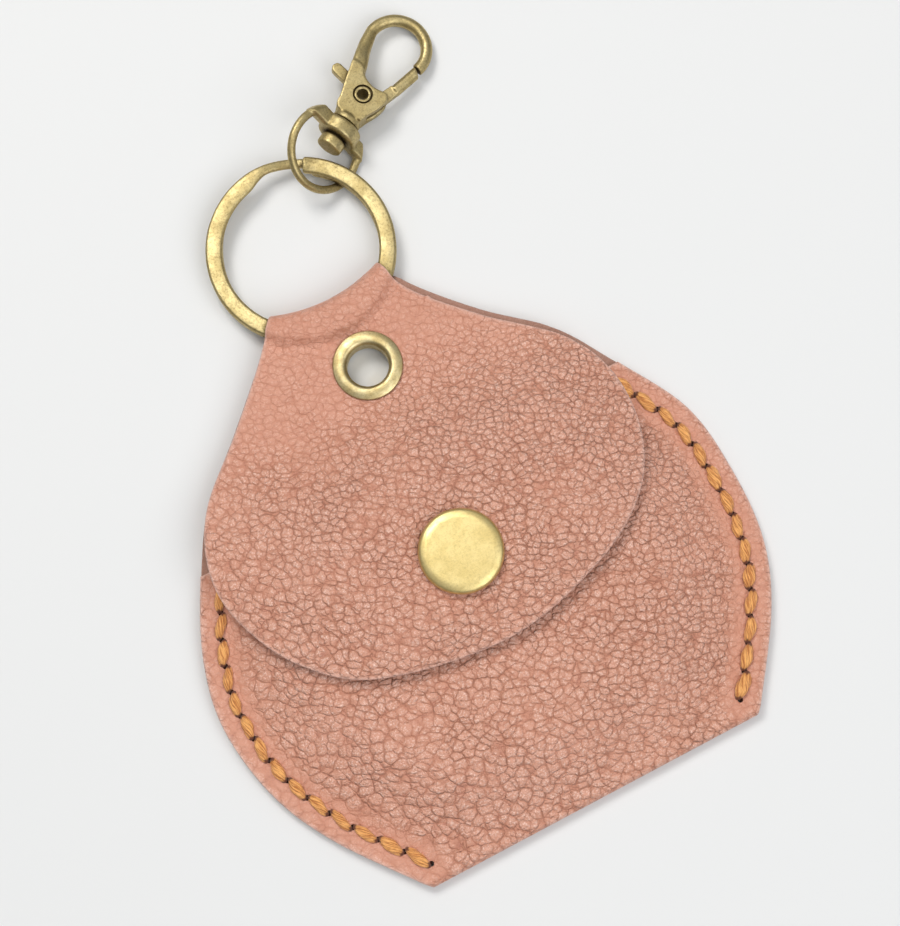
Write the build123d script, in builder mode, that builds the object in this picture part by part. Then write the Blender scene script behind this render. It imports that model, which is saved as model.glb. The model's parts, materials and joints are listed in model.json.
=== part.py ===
from build123d import *
import os
from math import atan2, cos, degrees, hypot, radians, sin

# Leather pick holder: a pouch with a snapped flap, an eyelet, a split key ring and a swivel lobster clasp.
# It lies on its back. +X is to the right, +Y points from the pouch to the key ring and +Z out of the front.
# The origin is the centre of the eyelet, where its axis crosses the plane between the two neck layers.
# Heights below are measured from the flat back that it lies on, and the last section moves every piece
# down by neck_plane. Millimetres.

# ---------------------------------------------------------------- leather
leather = 1.1                    # thickness of the one leather blank
neck_plane = 2.55                # height at which the two neck layers meet
pocket_gap = 4.15                # free height inside the pocket
crack = 0.1                      # gap between the two leather panels at the flap's bend line
loop_clearance = 0.25            # between the key ring and the loop round it
loop_rise = 1.1                  # length over which each layer bends away from the neck plane
loop_end = 14.0                  # past the fold, which the outline trims

# the folded pouch, from the neck fold down each side to the bottom fold
left_outline = [
    (-9.4, 13.3), (-13.8, 8.0), (-21.9, 0.0), (-30.4, -8.0), (-35.6, -16.5),
    (-40.2, -26.5), (-42.1, -36.5), (-40.3, -48.0), (-35.4, -58.0), (-26.0, -70.3),
]
right_outline = [
    (8.2, 13.5), (11.4, 8.0), (18.6, 0.0), (27.5, -8.0), (33.0, -16.5),
    (38.4, -26.5), (39.8, -36.5), (39.1, -48.0), (35.1, -58.0), (26.4, -70.3),
]
# the neck and flap in front, once round from the left end of the neck fold to the right end
flap_outline = [
    (-9.4, 13.3), (-13.6, 8.0), (-21.6, 0.0), (-30.1, -8.0), (-33.7, -16.4), (-33.3, -24.5),
    (-28.4, -34.1), (-19.0, -41.3), (-0.3, -44.6), (15.9, -40.9), (25.9, -34.6),
    (30.4, -26.5), (30.7, -17.5), (27.0, -9.0), (18.1, -0.8), (10.6, 7.4), (8.2, 13.5),
]
fold_sag = 1.7                   # the key ring pulls the middle of the neck fold down this far
loop_line = 5.3                  # bend line between the neck and its loop round the key ring
flap_line = -5.9                 # bend line between the neck and the flap
lift_line = -14.0                # the back panel lies flat below this line and rises to the neck above it
mouth_line = -16.0               # edge of the pocket front
fold_line = -69.2                # where the bottom fold begins to turn

# the pocket front is a flat margin with a raised middle: two copies of the outline, scaled about a centre
bulge_centre = (-1.0, -40.0)
bulge_foot = 0.87
bulge_top = 0.62

# the flap seen from the end: (y, height of its underside in the middle, sideways droop per mm squared)
flap_stations = [
    (-5.9, 2.62, 0.00005), (-16.0, 7.2, 0.0020), (-25.0, 8.9, 0.0034), (-36.6, 8.9, 0.0034), (-45.5, 6.65, 0.0010),
]
flap_half_span = 36.0

# ---------------------------------------------------------------- eyelet
eyelet_hole_r = 3.05
eyelet_barrel_r = 3.3
eyelet_flange_r = 5.12
eyelet_flange_h = 0.6
eyelet_curl_r = 4.3
eyelet_curl_h = 0.3
washer_r = 5.2
washer_t = 0.4
eyelet_clearance = 0.05

# ---------------------------------------------------------------- press snap
snap_x = -0.9
snap_y = -30.8
flap_height = 8.9                # underside of the flap at the snap
cap_r = 6.12
cap_h = 1.4
cap_edge_r = 1.05
cap_post_r = 1.4
socket_r = 5.3
socket_h = 1.9
socket_roof_t = 0.4
socket_bore_r = 2.95
socket_groove_r = 4.1
socket_groove_h = 0.35
socket_lip = 0.1
socket_edge = 0.4
stud_base_r = 5.2
stud_base_t = 0.45
stud_edge = 0.25
stud_head_r = 2.5
stud_neck_r = 2.1
stud_neck_h = 0.55
stud_h = 1.6
post_flange_r = 4.8
post_flange_t = 0.5
post_stem_r = 1.3
spring_wire_r = 0.15
spring_wire_length = 6.6
spring_wire_y = 2.3

# ---------------------------------------------------------------- saddle-stitched seams
seam_inset = 3.0
seam_end = 1.6                   # from the bottom corner to the last hole, along the outline
stitch_pitch = 4.1
stitch_holes = 15
thread_hole_r = 0.55
thread_core_r = 0.5
stitch_w = 1.5
stitch_t = 0.55
groove_w = 1.8
groove_depth = 0.6

# ---------------------------------------------------------------- split key ring
ring_x = -0.7
ring_y = 20.1
ring_r = 14.0
ring_wire_w = 2.5
ring_wire_t = 1.05
ring_turn_gap = 0.1
ring_wire_corner = 0.3
upper_turn_from = 28.0           # clockwise from +Y: the end of the upper turn
upper_turn_to = 350.0            # where the upper turn starts to drop
lower_turn_from = 388.0          # where the drop reaches the lower turn
lower_turn_to = 706.0            # the end of the lower turn
drop_wire_w = 1.4                # the wire is narrower where it drops
drop_steps = 10

# ---------------------------------------------------------------- lobster clasp
# Its own frame: +X along the swivel axis from the gate rivet to the bow, +Y to the spine, +Z out of its plate.
clasp_at = (17.66, 36.28, 3.25)
clasp_heading = 30.5             # direction of the swivel axis, counterclockwise from +X
clasp_droop = 8.0                # the bow end lies lower than the eye end
eye_roll = 38.0                  # turn of the eye about the swivel axis, its left side up
# the hook's plate, from the swivel along its lower edge, up the throat and back along the spine
plate_outline = [(-3.6, -1.95), (-0.4, -3.15), (1.15, -3.45), (2.0, -3.1), (2.3, -0.4), (3.0, 1.5)]
plate_back = [(3.0, 4.15), (1.1, 3.7), (-1.45, 2.95), (-3.6, 2.05)]
# the spine from the plate to the bow: (x, y of its middle, half its width along y, half its thickness)
spine_stations = [(2.0, 2.85, 1.1, 1.6), (6.0, 3.8, 0.98, 1.15), (8.8, 4.52, 0.83, 0.83)]
plate_edge_r = 0.6
body_t = 3.8
slot_t = 1.44                    # the gate turns in this slot
slot_from = -2.35
slot_to = 3.2
bow_x = 8.8
bow_r = 4.52
bow_wire_r = 0.83
bow_arc = 200.0                  # before the slanted cut at its tip
tip_slant = (0.8, -0.6)          # direction square to the slanted joint between gate and hook tip
hook_tip_at = 9.45               # distance of that joint's hook side from the rivet, in that direction
gate_tip_at = 9.2                # and of its gate side
rivet_r = 1.25
rivet_hole_r = 0.82
rivet_seat_r = 1.5
rivet_seat_depth = 0.35
rivet_edge = 0.15
gate_bore_r = 1.3
gate_t = 1.3
gate_hub_r = 1.95
gate_hub_t = 0.65
gate_relief_r = 1.9              # the hub is thinned inside this radius
gate_root = [(0, -1.9), (1.2, -3.35), (3.7, -4.15), (4.1, -2.55), (2.3, -1.9), (1.9, 0), (0, 0)]
gate_barrel_r = 0.88
gate_barrel_from = (3.7, -3.38)
gate_barrel_turn = -14.0         # direction of the barrel in the clasp's frame, in degrees
gate_barrel_length = 7.0         # before the slanted cut at its tip
thumb_tab_at = (1.38, 3.35)
thumb_tab_turn = 77.0
thumb_tab_length = 4.4
thumb_tab_w = 1.65
gate_spring_r = 1.62
gate_spring_wire_r = 0.11
gate_spring_pitch = 0.26
gate_spring_turns = 1.6
gate_spring_lift = 0.17
neck_r = 1.7
neck_root = -3.3                # the swivel's neck starts inside the plate
band_r = 2.15
band_from = -4.8
band_to = -3.8
swivel_edge = 0.15
stem_r = 1.45
head_r = 1.95
head_from = -9.35
head_to = -7.65
head_end_edge = 0.35
collar_bore_r = 1.53
collar_r = 3.1
collar_from = -7.4
collar_to = -5.05
collar_edge = 0.3
eye_at = (-9.85, 0.3)
eye_r = 5.9
eye_wire_r = 0.62
eye_wire_from = 64.0             # angle from the swivel axis at which the wire leaves the shoulders
shoulder_t = 2.0
shoulder_edge = 0.4


# ---------------------------------------------------------------- outlines
def fold_arc(left_end, right_end, sag):
    """The curved edge of the neck fold, between the two ends of an outline."""
    middle = ((left_end[0] + right_end[0]) / 2, (left_end[1] + right_end[1]) / 2 - sag)
    ThreePointArc(left_end, middle, right_end)


def scaled(points, scale):
    """The points scaled about the middle of the pocket's bulge."""
    centre_x, centre_y = bulge_centre
    return [(centre_x + (x - centre_x) * scale, centre_y + (y - centre_y) * scale) for x, y in points]


def pouch_face(scale=1.0):
    """Face of the folded pouch, or the same face scaled about the middle of the bulge."""
    left = scaled(left_outline, scale)
    right = scaled(right_outline, scale)
    with BuildLine() as outline:
        fold_arc(left[0], right[0], fold_sag * scale)
        Spline(*left)
        Spline(*right)
        Line(left[-1], right[-1])
    make_face(outline.edges())


def flap_face():
    """Face of the neck and flap in front."""
    with BuildLine() as outline:
        fold_arc(flap_outline[0], flap_outline[-1], fold_sag)
        Spline(*flap_outline)
    make_face(outline.edges())


def layer_face(lower_points):
    """A leather layer seen from the side, given by the (y, z) points of its lower side, for Plane.YZ."""
    upper_points = [(y, z + leather) for y, z in reversed(lower_points)]
    with BuildLine() as outline:
        Polyline(*lower_points, *upper_points, close=True)
    make_face(outline.edges())


def seam_holes(outline, side):
    """Hole centres of one seam, from the bottom corner up. side is 1 on the left and -1 on the right."""
    curve = Spline(*outline, mode=Mode.PRIVATE)
    holes = []
    for i in range(stitch_holes):
        distance = curve.length - seam_end - i * stitch_pitch
        edge = curve.position_at(distance, position_mode=PositionMode.LENGTH)
        along = curve.tangent_at(distance, position_mode=PositionMode.LENGTH)
        inward = Vector(-along.Y, along.X) * side
        hole = edge + inward * seam_inset
        holes.append((hole.X, hole.Y))
    return holes


left_holes = seam_holes(left_outline, 1)
right_holes = seam_holes(right_outline, -1)
all_holes = left_holes + right_holes
span = 100.0                     # longer than any panel is wide


def stitches(holes, width):
    """One slot from each hole of a seam to the next, in the current sketch."""
    for (x1, y1), (x2, y2) in zip(holes, holes[1:]):
        length = hypot(x2 - x1, y2 - y1)
        turn = degrees(atan2(y2 - y1, x2 - x1))
        with Locations(((x1 + x2) / 2, (y1 + y2) / 2)):
            SlotCenterToCenter(length, width, rotation=turn)


# ---------------------------------------------------------------- leather panels
with BuildPart() as back_panel:
    with BuildSketch(Plane.YZ.offset(-span / 2)):
        layer_face([(fold_line, 0), (lift_line, 0), (flap_line, neck_plane - leather)])
    extrude(amount=span)
    with BuildSketch(Plane.XY):
        pouch_face()
    extrude(amount=span, mode=Mode.INTERSECT)
    with BuildSketch(Plane.XY):
        with Locations(*all_holes):
            Circle(thread_hole_r)
    extrude(amount=leather, mode=Mode.SUBTRACT)
    with BuildSketch(Plane.XY):
        stitches(left_holes, groove_w)
        stitches(right_holes, groove_w)
    extrude(amount=groove_depth, mode=Mode.SUBTRACT)

with BuildPart() as bottom_fold:
    with BuildSketch(Plane.YZ.offset(-span / 2)):
        with Locations((fold_line, leather)):
            Circle(leather)
        with Locations((fold_line + leather, leather)):
            Rectangle(2 * leather, 4 * leather, mode=Mode.SUBTRACT)
    extrude(amount=span)
    with BuildSketch(Plane.XY):
        pouch_face()
    extrude(amount=span, mode=Mode.INTERSECT)

with BuildPart() as pocket_front:
    with BuildSketch(Plane.XY.offset(leather)):
        pouch_face()
    extrude(amount=leather)
    with BuildSketch(Plane.XY.offset(2 * leather)):
        pouch_face(bulge_foot)
    with BuildSketch(Plane.XY.offset(2 * leather + pocket_gap)):
        pouch_face(bulge_top)
    loft(ruled=True)
    with BuildSketch(Plane.XY.offset(leather)):
        pouch_face(bulge_foot)
    with BuildSketch(Plane.XY.offset(leather + pocket_gap)):
        pouch_face(bulge_top)
    loft(ruled=True, mode=Mode.SUBTRACT)
    with BuildSketch(Plane.XY):
        with Locations((0, (fold_line + mouth_line) / 2)):
            Rectangle(span, mouth_line - fold_line)
    extrude(amount=span, mode=Mode.INTERSECT)
    with BuildSketch(Plane.XY):
        with Locations(*all_holes):
            Circle(thread_hole_r)
        with Locations((snap_x, snap_y)):
            Circle(post_stem_r)
    extrude(amount=span, mode=Mode.SUBTRACT)


def neck_layer(face, height):
    """One of the two flat neck layers that the eyelet clamps, between the flap's and the loop's bend lines."""
    with BuildPart() as layer:
        with BuildSketch(Plane.XY.offset(height)):
            face()
            with Locations((0, (flap_line + loop_line) / 2)):
                Rectangle(span, loop_line - flap_line, mode=Mode.INTERSECT)
            Circle(eyelet_barrel_r + eyelet_clearance, mode=Mode.SUBTRACT)
        extrude(amount=leather)
    return layer


neck_back = neck_layer(pouch_face, neck_plane - leather)
neck_front = neck_layer(flap_face, neck_plane)

ring_height = 2 * ring_wire_t + ring_turn_gap
loop_inside = ring_height / 2 + loop_clearance
loop_outside = loop_inside + leather


def sleeve_face(half_gap, half_height):
    """The loop round the key ring seen from the side: flat sheets that part from the neck plane."""
    with BuildLine() as outline:
        Polyline(
            (loop_line, neck_plane - half_gap),
            (loop_line + loop_rise, neck_plane - half_height),
            (loop_end, neck_plane - half_height),
            (loop_end, neck_plane + half_height),
            (loop_line + loop_rise, neck_plane + half_height),
            (loop_line, neck_plane + half_gap),
            close=True,
        )
    make_face(outline.edges())


with BuildPart() as loop_cavity:
    with BuildSketch(Plane.YZ.offset(-span / 2)):
        sleeve_face(crack / 2, loop_inside)
    extrude(amount=span)
    with BuildSketch(Plane.XY):
        with BuildLine():
            left_end = (left_outline[0][0], left_outline[0][1] - leather)
            right_end = (right_outline[0][0], right_outline[0][1] - leather)
            fold_arc(left_end, right_end, fold_sag)
            Polyline(right_end, (span, right_end[1]), (span, 0), (-span, 0), (-span, left_end[1]), left_end)
        make_face()
    extrude(amount=span, mode=Mode.INTERSECT)
    with BuildSketch(Plane.XY.offset(neck_plane - loop_inside)):
        with Locations((ring_x, ring_y)):
            Circle(ring_r + loop_clearance)
            Circle(ring_r - ring_wire_w - loop_clearance, mode=Mode.SUBTRACT)
    extrude(amount=2 * loop_inside)

with BuildPart() as neck_loop:
    with BuildSketch(Plane.YZ.offset(-span / 2)):
        sleeve_face(leather, loop_outside)
    extrude(amount=span)
    with BuildSketch(Plane.XY):
        pouch_face()
    extrude(amount=span, mode=Mode.INTERSECT)
    fillet(neck_loop.edges().filter_by(GeomType.CIRCLE), radius=leather)
    add(loop_cavity.part, mode=Mode.SUBTRACT)

with BuildPart() as flap:
    for y, middle, droop in flap_stations:
        edge = middle - droop * flap_half_span**2
        with BuildSketch(Plane.XZ.offset(-y)):
            with BuildLine():
                ThreePointArc((-flap_half_span, edge), (0, middle), (flap_half_span, edge))
                Line((flap_half_span, edge), (flap_half_span, edge + leather))
                ThreePointArc(
                    (flap_half_span, edge + leather), (0, middle + leather), (-flap_half_span, edge + leather)
                )
                Line((-flap_half_span, edge + leather), (-flap_half_span, edge))
            make_face()
    loft(ruled=True)
    with BuildSketch(Plane.XY):
        flap_face()
        with Locations((0, flap_line - crack - span / 2)):
            Rectangle(span, span, mode=Mode.INTERSECT)
        with Locations((snap_x, snap_y)):
            Circle(cap_post_r, mode=Mode.SUBTRACT)
    extrude(amount=span, mode=Mode.INTERSECT)
    with BuildSketch(Plane.XY.offset(flap_height)):
        with Locations((snap_x, snap_y)):
            Circle(socket_r + socket_edge)
    extrude(amount=-socket_h, mode=Mode.SUBTRACT)


# ---------------------------------------------------------------- seam threads
def seam_thread(holes):
    """One waxed thread: stitches in front and behind, joined through the holes."""
    with BuildPart() as thread:
        with BuildSketch(Plane.XY.offset(2 * leather)):
            stitches(holes, stitch_w)
        extrude(amount=stitch_t)
        with BuildSketch(Plane.XY.offset(groove_depth - stitch_t)):
            stitches(holes, stitch_w)
        extrude(amount=stitch_t)
        with BuildSketch(Plane.XY.offset(groove_depth - stitch_t)):
            with Locations(*holes):
                Circle(thread_core_r)
        extrude(amount=2 * leather)
    return thread


left_seam_thread = seam_thread(left_holes)
right_seam_thread = seam_thread(right_holes)

# ---------------------------------------------------------------- eyelet
eyelet_top = neck_plane + leather + eyelet_flange_h
washer_bottom = neck_plane - leather - washer_t
eyelet_bottom = washer_bottom - eyelet_curl_h

with BuildPart() as eyelet_barrel:
    with BuildSketch(Plane.XZ):
        with BuildLine():
            Polyline(
                (eyelet_hole_r, washer_bottom),
                (eyelet_hole_r, eyelet_top - eyelet_flange_h / 2),
                (eyelet_hole_r + eyelet_flange_h / 2, eyelet_top),
                (eyelet_flange_r - eyelet_flange_h / 2, eyelet_top),
                (eyelet_flange_r, eyelet_top - eyelet_flange_h / 2),
                (eyelet_flange_r, neck_plane + leather),
                (eyelet_barrel_r, neck_plane + leather),
                (eyelet_barrel_r, washer_bottom),
                (eyelet_curl_r, washer_bottom),
                (eyelet_curl_r, washer_bottom - eyelet_curl_h / 3),
                (eyelet_curl_r - eyelet_curl_h, eyelet_bottom),
                (eyelet_hole_r + eyelet_curl_h, eyelet_bottom),
                close=True,
            )
        make_face()
    revolve(axis=Axis.Z)

with BuildPart() as eyelet_washer:
    with BuildSketch(Plane.XY.offset(washer_bottom)):
        Circle(washer_r)
        Circle(eyelet_barrel_r + eyelet_clearance, mode=Mode.SUBTRACT)
    extrude(amount=washer_t)
    fillet(eyelet_washer.edges().group_by(Axis.Z)[0].sort_by(SortBy.RADIUS)[-1], radius=washer_t / 2)

# ---------------------------------------------------------------- press snap
snap_axis = Axis((snap_x, snap_y, 0), (0, 0, 1))
pocket_ceiling = leather + pocket_gap
stud_bottom = pocket_ceiling + leather
stud_shelf = stud_bottom + stud_base_t
stud_top = stud_shelf + stud_h
socket_bottom = flap_height - socket_h
socket_roof = flap_height - socket_roof_t
groove_bottom = socket_bottom + socket_lip
groove_top = groove_bottom + socket_groove_h
cap_bottom = flap_height + leather


def snap_section(points):
    """Half section of a round snap piece, given by (radius, height) points."""
    with BuildSketch(Plane((snap_x, snap_y, 0), x_dir=(1, 0, 0), z_dir=(0, -1, 0))) as section:
        with BuildLine():
            Polyline(*points, close=True)
        make_face()
    return section.sketch


with BuildPart() as snap_cap:
    with BuildSketch(Plane.XY.offset(cap_bottom)):
        with Locations((snap_x, snap_y)):
            Circle(cap_r)
    extrude(amount=cap_h)
    fillet(snap_cap.edges().group_by(Axis.Z)[-1], radius=cap_edge_r)
    with BuildSketch(Plane.XY.offset(cap_bottom)):
        with Locations((snap_x, snap_y)):
            Circle(cap_post_r)
    extrude(amount=-(leather + socket_roof_t))

with BuildPart() as snap_socket:
    socket_section = snap_section(
        [
            (cap_post_r, flap_height), (cap_post_r, socket_roof), (socket_bore_r, socket_roof),
            (socket_bore_r, groove_top), (socket_groove_r, groove_top), (socket_groove_r, groove_bottom),
            (socket_bore_r, groove_bottom), (socket_bore_r, socket_bottom),
            (socket_r - socket_edge, socket_bottom), (socket_r, socket_bottom + socket_edge),
            (socket_r, flap_height - socket_edge), (socket_r - socket_edge, flap_height),
        ]
    )
    revolve(socket_section, axis=snap_axis)

with BuildPart() as snap_spring:
    with BuildSketch(Plane.YZ.offset(snap_x - spring_wire_length / 2)):
        with Locations((snap_y, (groove_bottom + groove_top) / 2)):
            with GridLocations(2 * spring_wire_y, 0, 2, 1):
                Circle(spring_wire_r)
    extrude(amount=spring_wire_length)

with BuildPart() as snap_stud:
    stud_section = snap_section(
        [
            (post_stem_r, stud_bottom), (stud_base_r, stud_bottom), (stud_base_r, stud_shelf - stud_edge),
            (stud_base_r - stud_edge, stud_shelf), (stud_neck_r, stud_shelf),
            (stud_neck_r, stud_shelf + stud_neck_h), (stud_head_r, stud_shelf + stud_neck_h + stud_edge),
            (stud_head_r, stud_top - stud_edge), (stud_head_r - stud_edge, stud_top), (post_stem_r, stud_top),
        ]
    )
    revolve(stud_section, axis=snap_axis)

with BuildPart() as snap_post:
    with BuildSketch(Plane.XY.offset(pocket_ceiling)):
        with Locations((snap_x, snap_y)):
            Circle(post_flange_r)
    extrude(amount=-post_flange_t)
    fillet(snap_post.edges().group_by(Axis.Z)[0], radius=post_flange_t / 2)
    with BuildSketch(Plane.XY.offset(pocket_ceiling)):
        with Locations((snap_x, snap_y)):
            Circle(post_stem_r)
    extrude(amount=stud_top - pocket_ceiling)

# ---------------------------------------------------------------- split key ring
# Angles go clockwise from +Y. One wire makes two turns: the upper one, a drop, and the lower one.
ring_axis = Axis((ring_x, ring_y, 0), (0, 0, -1))
lower_turn_z = neck_plane - (ring_wire_t + ring_turn_gap) / 2
upper_turn_z = neck_plane + (ring_wire_t + ring_turn_gap) / 2


def ring_section(angle, height, width):
    """Cross-section of the wire, kept at the ring's outer edge."""
    outward = Vector(sin(radians(angle)), cos(radians(angle)), 0)
    along = Vector(outward.Y, -outward.X, 0)
    with BuildSketch(Plane(origin=(ring_x, ring_y, 0), x_dir=outward, z_dir=along)) as section:
        with Locations((ring_r - width / 2, height)):
            RectangleRounded(width, ring_wire_t, ring_wire_corner)
    return section.sketch


def eased(fraction):
    """0 to 1 with a level start and end."""
    return fraction * fraction * (3 - 2 * fraction)


def drop_section(fraction):
    """Cross-section of the wire at a fraction of the way down the drop."""
    angle = upper_turn_to + (lower_turn_from - upper_turn_to) * fraction
    height = upper_turn_z + (lower_turn_z - upper_turn_z) * eased(fraction)
    narrowing = min(1.0, 4 * min(fraction, 1 - fraction))
    return ring_section(angle, height, ring_wire_w + (drop_wire_w - ring_wire_w) * narrowing)


with BuildPart() as key_ring:
    revolve(
        ring_section(upper_turn_from, upper_turn_z, ring_wire_w),
        axis=ring_axis,
        revolution_arc=upper_turn_to - upper_turn_from,
    )
    revolve(
        ring_section(lower_turn_from, lower_turn_z, ring_wire_w),
        axis=ring_axis,
        revolution_arc=lower_turn_to - lower_turn_from,
    )
    loft([drop_section(step / drop_steps) for step in range(drop_steps + 1)], ruled=True)

# ---------------------------------------------------------------- lobster clasp, each piece in the clasp's frame
slant = Vector(*tip_slant)
slant_side = Vector(-slant.Y, slant.X)


def spun(points):
    """Half section of something round about the swivel axis, given by (x, radius) points."""
    with BuildSketch(Plane.XY) as section:
        with BuildLine():
            Polyline(*points, close=True)
        make_face()
    return section.sketch


with BuildPart() as hook_body:
    with BuildSketch(Plane.XY.offset(-body_t / 2)):
        with BuildLine():
            Polyline(*plate_outline, *plate_back, close=True)
        make_face()
    extrude(amount=body_t)
    fillet(hook_body.faces().filter_by(Axis.Z).edges(), radius=plate_edge_r)
    for x, y, half_width, half_thickness in spine_stations:
        with BuildSketch(Plane.YZ.offset(x)):
            with Locations((y, 0)):
                Ellipse(half_width, half_thickness)
    loft()
    with BuildSketch(Plane.YZ.offset(bow_x)):
        with Locations((bow_r, 0)):
            Circle(bow_wire_r)
    revolve(axis=Axis((bow_x, 0, 0), (0, 0, -1)), revolution_arc=bow_arc)
    with BuildSketch(Plane.XZ):
        with Locations(((slot_from + slot_to) / 2, 0)):
            Rectangle(slot_to - slot_from, slot_t)
    extrude(amount=span, both=True, mode=Mode.SUBTRACT)
    with BuildSketch(Plane(origin=slant * hook_tip_at, x_dir=slant_side, z_dir=-slant)):
        with Locations((2 * bow_wire_r, 0)):
            Rectangle(6 * bow_wire_r, 6 * bow_wire_r)
    extrude(amount=2 * bow_wire_r, mode=Mode.SUBTRACT)
    with BuildSketch(Plane.XY):
        Circle(rivet_r)
    extrude(amount=span, both=True, mode=Mode.SUBTRACT)
    for side in (1, -1):
        with BuildSketch(Plane.XY.offset(side * (body_t / 2 - rivet_seat_depth))):
            Circle(rivet_seat_r)
        extrude(amount=side * rivet_seat_depth, mode=Mode.SUBTRACT)
    swivel_section = spun(
        [
            (neck_root, 0), (neck_root, neck_r), (band_to, neck_r), (band_to, band_r - swivel_edge),
            (band_to - swivel_edge, band_r), (band_from + swivel_edge, band_r),
            (band_from, band_r - swivel_edge), (band_from, stem_r), (head_to, stem_r),
            (head_to, head_r - swivel_edge), (head_to - swivel_edge, head_r),
            (head_from + head_end_edge, head_r), (head_from, head_r - head_end_edge), (head_from, 0),
        ]
    )
    revolve(swivel_section, axis=Axis.X)

with BuildPart() as gate_rivet:
    with BuildSketch(Plane.XY.offset(-body_t / 2)):
        Circle(rivet_r)
        Circle(rivet_hole_r, mode=Mode.SUBTRACT)
    extrude(amount=body_t)
    fillet(gate_rivet.edges().filter_by(GeomType.CIRCLE), radius=rivet_edge)

with BuildPart() as hook_gate:
    with BuildSketch(Plane.XY.offset(-gate_t / 2)):
        with BuildLine():
            Polyline(*gate_root, close=True)
        make_face()
        with Locations(thumb_tab_at):
            SlotCenterToCenter(thumb_tab_length, thumb_tab_w, rotation=thumb_tab_turn)
        Circle(gate_hub_r)
    extrude(amount=gate_t)
    with BuildSketch(Plane.XY.offset(gate_hub_t - gate_t / 2)):
        Circle(gate_relief_r)
    extrude(amount=gate_t, mode=Mode.SUBTRACT)
    with BuildSketch(Plane.XY):
        Circle(gate_bore_r)
    extrude(amount=gate_t, both=True, mode=Mode.SUBTRACT)
    barrel_along = (cos(radians(gate_barrel_turn)), sin(radians(gate_barrel_turn)), 0)
    with BuildSketch(Plane(origin=gate_barrel_from, x_dir=(0, 0, 1), z_dir=barrel_along)):
        Circle(gate_barrel_r)
    extrude(amount=gate_barrel_length)
    with BuildSketch(Plane(origin=slant * gate_tip_at, x_dir=slant_side, z_dir=slant)):
        Rectangle(span, gate_barrel_length)
    extrude(amount=gate_barrel_length, mode=Mode.SUBTRACT)

with BuildPart() as gate_spring:
    with BuildLine() as coil:
        Helix(
            pitch=gate_spring_pitch,
            height=gate_spring_pitch * gate_spring_turns,
            radius=gate_spring_r,
            center=(0, 0, gate_spring_lift),
        )
    with BuildSketch(Plane(origin=coil.line @ 0, z_dir=coil.line % 0)):
        Circle(gate_spring_wire_r)
    sweep()

with BuildPart() as swivel_eye:
    with BuildSketch(Plane.XY.offset(-shoulder_t / 2)):
        with Locations(eye_at):
            Circle(eye_r + eye_wire_r)
        with Locations(((collar_from + collar_to) / 2, 0)):
            Rectangle(collar_to - collar_from, span, mode=Mode.INTERSECT)
    extrude(amount=shoulder_t)
    chamfer(swivel_eye.faces().filter_by(Axis.Z).edges(), length=shoulder_edge)
    collar_section = spun(
        [
            (collar_to, 0), (collar_to, collar_r - collar_edge), (collar_to - collar_edge, collar_r),
            (collar_from + collar_edge, collar_r), (collar_from, collar_r - collar_edge), (collar_from, 0),
        ]
    )
    revolve(collar_section, axis=Axis.X)
    eye_start = Vector(*eye_at) + Vector(eye_r, 0).rotate(Axis.Z, eye_wire_from)
    eye_along = Vector(0, 1).rotate(Axis.Z, eye_wire_from)
    with BuildSketch(Plane(origin=eye_start, x_dir=(0, 0, 1), z_dir=eye_along)):
        Circle(eye_wire_r)
    revolve(axis=Axis((*eye_at, 0), (0, 0, 1)), revolution_arc=360 - 2 * eye_wire_from)
    with BuildSketch(Plane.YZ.offset(collar_to)):
        Circle(collar_bore_r)
    extrude(amount=-2 * (collar_to - collar_from), mode=Mode.SUBTRACT)

# ---------------------------------------------------------------- place, name and write every piece
pouch_place = Location((0, 0, -neck_plane))
clasp_place = pouch_place * Location(clasp_at) * Rotation(0, clasp_droop, clasp_heading)
eye_place = clasp_place * Rotation(eye_roll, 0, 0)

pieces = [
    ("back_panel", back_panel, pouch_place),
    ("bottom_fold", bottom_fold, pouch_place),
    ("pocket_front", pocket_front, pouch_place),
    ("neck_back", neck_back, pouch_place),
    ("neck_front", neck_front, pouch_place),
    ("neck_loop", neck_loop, pouch_place),
    ("flap", flap, pouch_place),
    ("left_seam_thread", left_seam_thread, pouch_place),
    ("right_seam_thread", right_seam_thread, pouch_place),
    ("eyelet_barrel", eyelet_barrel, pouch_place),
    ("eyelet_washer", eyelet_washer, pouch_place),
    ("snap_cap", snap_cap, pouch_place),
    ("snap_socket", snap_socket, pouch_place),
    ("snap_spring", snap_spring, pouch_place),
    ("snap_stud", snap_stud, pouch_place),
    ("snap_post", snap_post, pouch_place),
    ("key_ring", key_ring, pouch_place),
    ("swivel_eye", swivel_eye, eye_place),
    ("hook_body", hook_body, clasp_place),
    ("hook_gate", hook_gate, clasp_place),
    ("gate_rivet", gate_rivet, clasp_place),
    ("gate_spring", gate_spring, clasp_place),
]

os.makedirs("parts", exist_ok=True)
for name, piece, place in pieces:
    piece.part = piece.part.moved(place)
    piece.part.label = name
    export_step(piece.part, f"parts/{name}.step")
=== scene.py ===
import json
import random
from math import copysign, cos, pi, radians, sin, sqrt

import bmesh
import bpy
import numpy as np
from mathutils import Matrix, Vector, noise
from mathutils.geometry import delaunay_2d_cdt


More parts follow.
